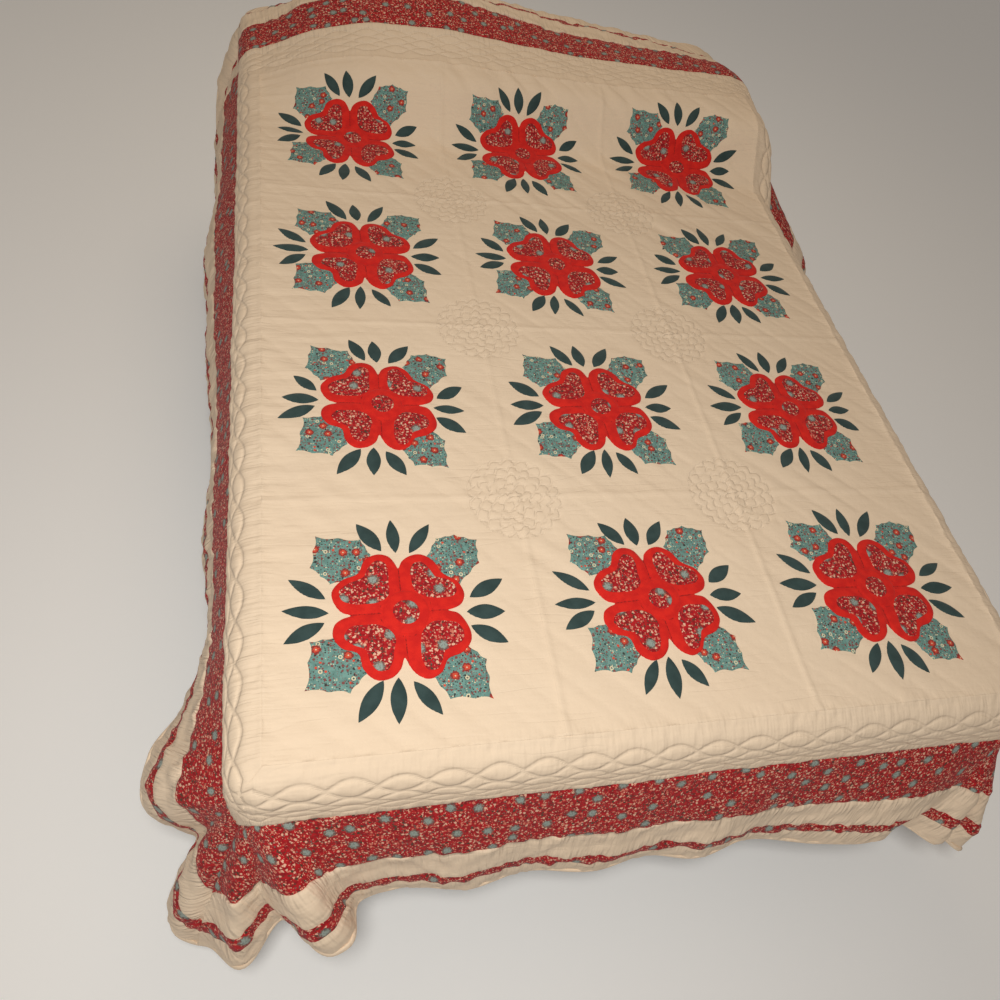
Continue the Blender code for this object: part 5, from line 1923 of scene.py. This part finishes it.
@dataclass(frozen=True)
class Lamp:
    """A square soft light: where it stands, where it points, its side, its power in watts and its colour."""

    name: str
    place: Triple
    target: Triple
    size: float
    power: float
    tint: Triple

    def build(self) -> None:
        """Make the light."""
        data = bpy.data.lights.new(self.name, "AREA")
        data.size = self.size
        data.energy = self.power
        data.color = self.tint
        lamp = bpy.data.objects.new(self.name, data)
        lamp.location = self.place
        lamp.rotation_euler = (Vector(self.target) - Vector(self.place)).to_track_quat("-Z", "Y").to_euler()
        bpy.context.scene.collection.objects.link(lamp)


@dataclass(frozen=True)
class Studio:
    """Floor, soft lights and the camera at the photograph's angle."""

    eye: Triple = (-0.6319, -1.2954, 1.7368)
    forward: Triple = (0.25973, 0.55474, -0.79044)
    right: Triple = (0.96551, -0.16474, 0.20163)
    lens: float = 29.31
    sensor: float = 36.0
    near: float = 0.05
    floor_size: float = 14.0
    floor_colour: Triple = (0.93, 0.93, 0.93)
    floor_glow: float = 0.10
    room_tint: Triple = (1.0, 0.86, 0.71)
    room_light: float = 0.18
    lamps: tuple[Lamp, ...] = (
        Lamp("key", (-0.72, -1.38, 2.20), (-0.32, -0.50, 0.6), 0.35, 24.8, (1.0, 0.98, 0.93)),
        Lamp("overhead", (-0.10, 1.75, 2.80), (0.0, 0.5, 0.6), 1.6, 12.5, (1.0, 0.81, 0.58)),
    )

    def camera(self) -> None:
        """Camera turned to its forward and right directions."""
        data = bpy.data.cameras.new("camera")
        data.sensor_width = self.sensor
        data.sensor_fit = "HORIZONTAL"
        data.lens = self.lens
        data.clip_start = self.near
        back = -Vector(self.forward).normalized()
        right = Vector(self.right)
        right = (right - back * right.dot(back)).normalized()
        up = back.cross(right)
        camera = bpy.data.objects.new("camera", data)
        camera.matrix_world = Matrix.Translation(self.eye) @ Matrix((right, up, back)).transposed().to_4x4()
        bpy.context.scene.collection.objects.link(camera)
        bpy.context.scene.camera = camera

    def floor(self) -> None:
        """A pale plain floor."""
        corners = [(x * self.floor_size / 2, y * self.floor_size / 2, 0) for x, y in CORNERS]
        mesh = bpy.data.meshes.new("floor")
        mesh.from_pydata(corners, [], [(0, 1, 2, 3)])
        material = bpy.data.materials.new("pale_floor")
        material.use_nodes = True
        Graph.set(material.node_tree.nodes["Principled BSDF"], {
            "Base Color": (*self.floor_colour, 1.0), "Roughness": 0.9,
            "Emission Color": (1.0, 1.0, 1.0, 1.0), "Emission Strength": self.floor_glow,
        })
        mesh.materials.append(material)
        floor = bpy.data.objects.new("floor", mesh)
        bpy.context.scene.collection.objects.link(floor)

    def room(self) -> None:
        """Even light from all round."""
        world = bpy.data.worlds.new("studio")
        world.use_nodes = True
        light = {"Color": (*self.room_tint, 1.0), "Strength": self.room_light}
        Graph.set(world.node_tree.nodes["Background"], light)
        bpy.context.scene.world = world
        bpy.context.scene.view_settings.view_transform = "Standard"

    def build(self) -> None:
        """Make the camera, the floor and the lights."""
        self.camera()
        self.floor()
        self.room()
        for lamp in self.lamps:
            lamp.build()


def main() -> None:
    """Build the quilt on its bed in order."""
    logging.basicConfig(level=logging.INFO, format="%(name)s %(message)s")
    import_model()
    Studio().build()
    flat = FlatQuilt()
    drape = Drape(flat)
    motifs = [Motif(flat, row, column) for row in range(flat.rows) for column in range(flat.columns)]
    sewing = Sewing(flat, motifs)
    finishes = Finishes(flat)
    Bed(drape, finishes).build()
    Quilt(drape, sewing, finishes).build()
    Applique(drape, sewing, finishes).build()


if __name__ == "__main__":
    main()
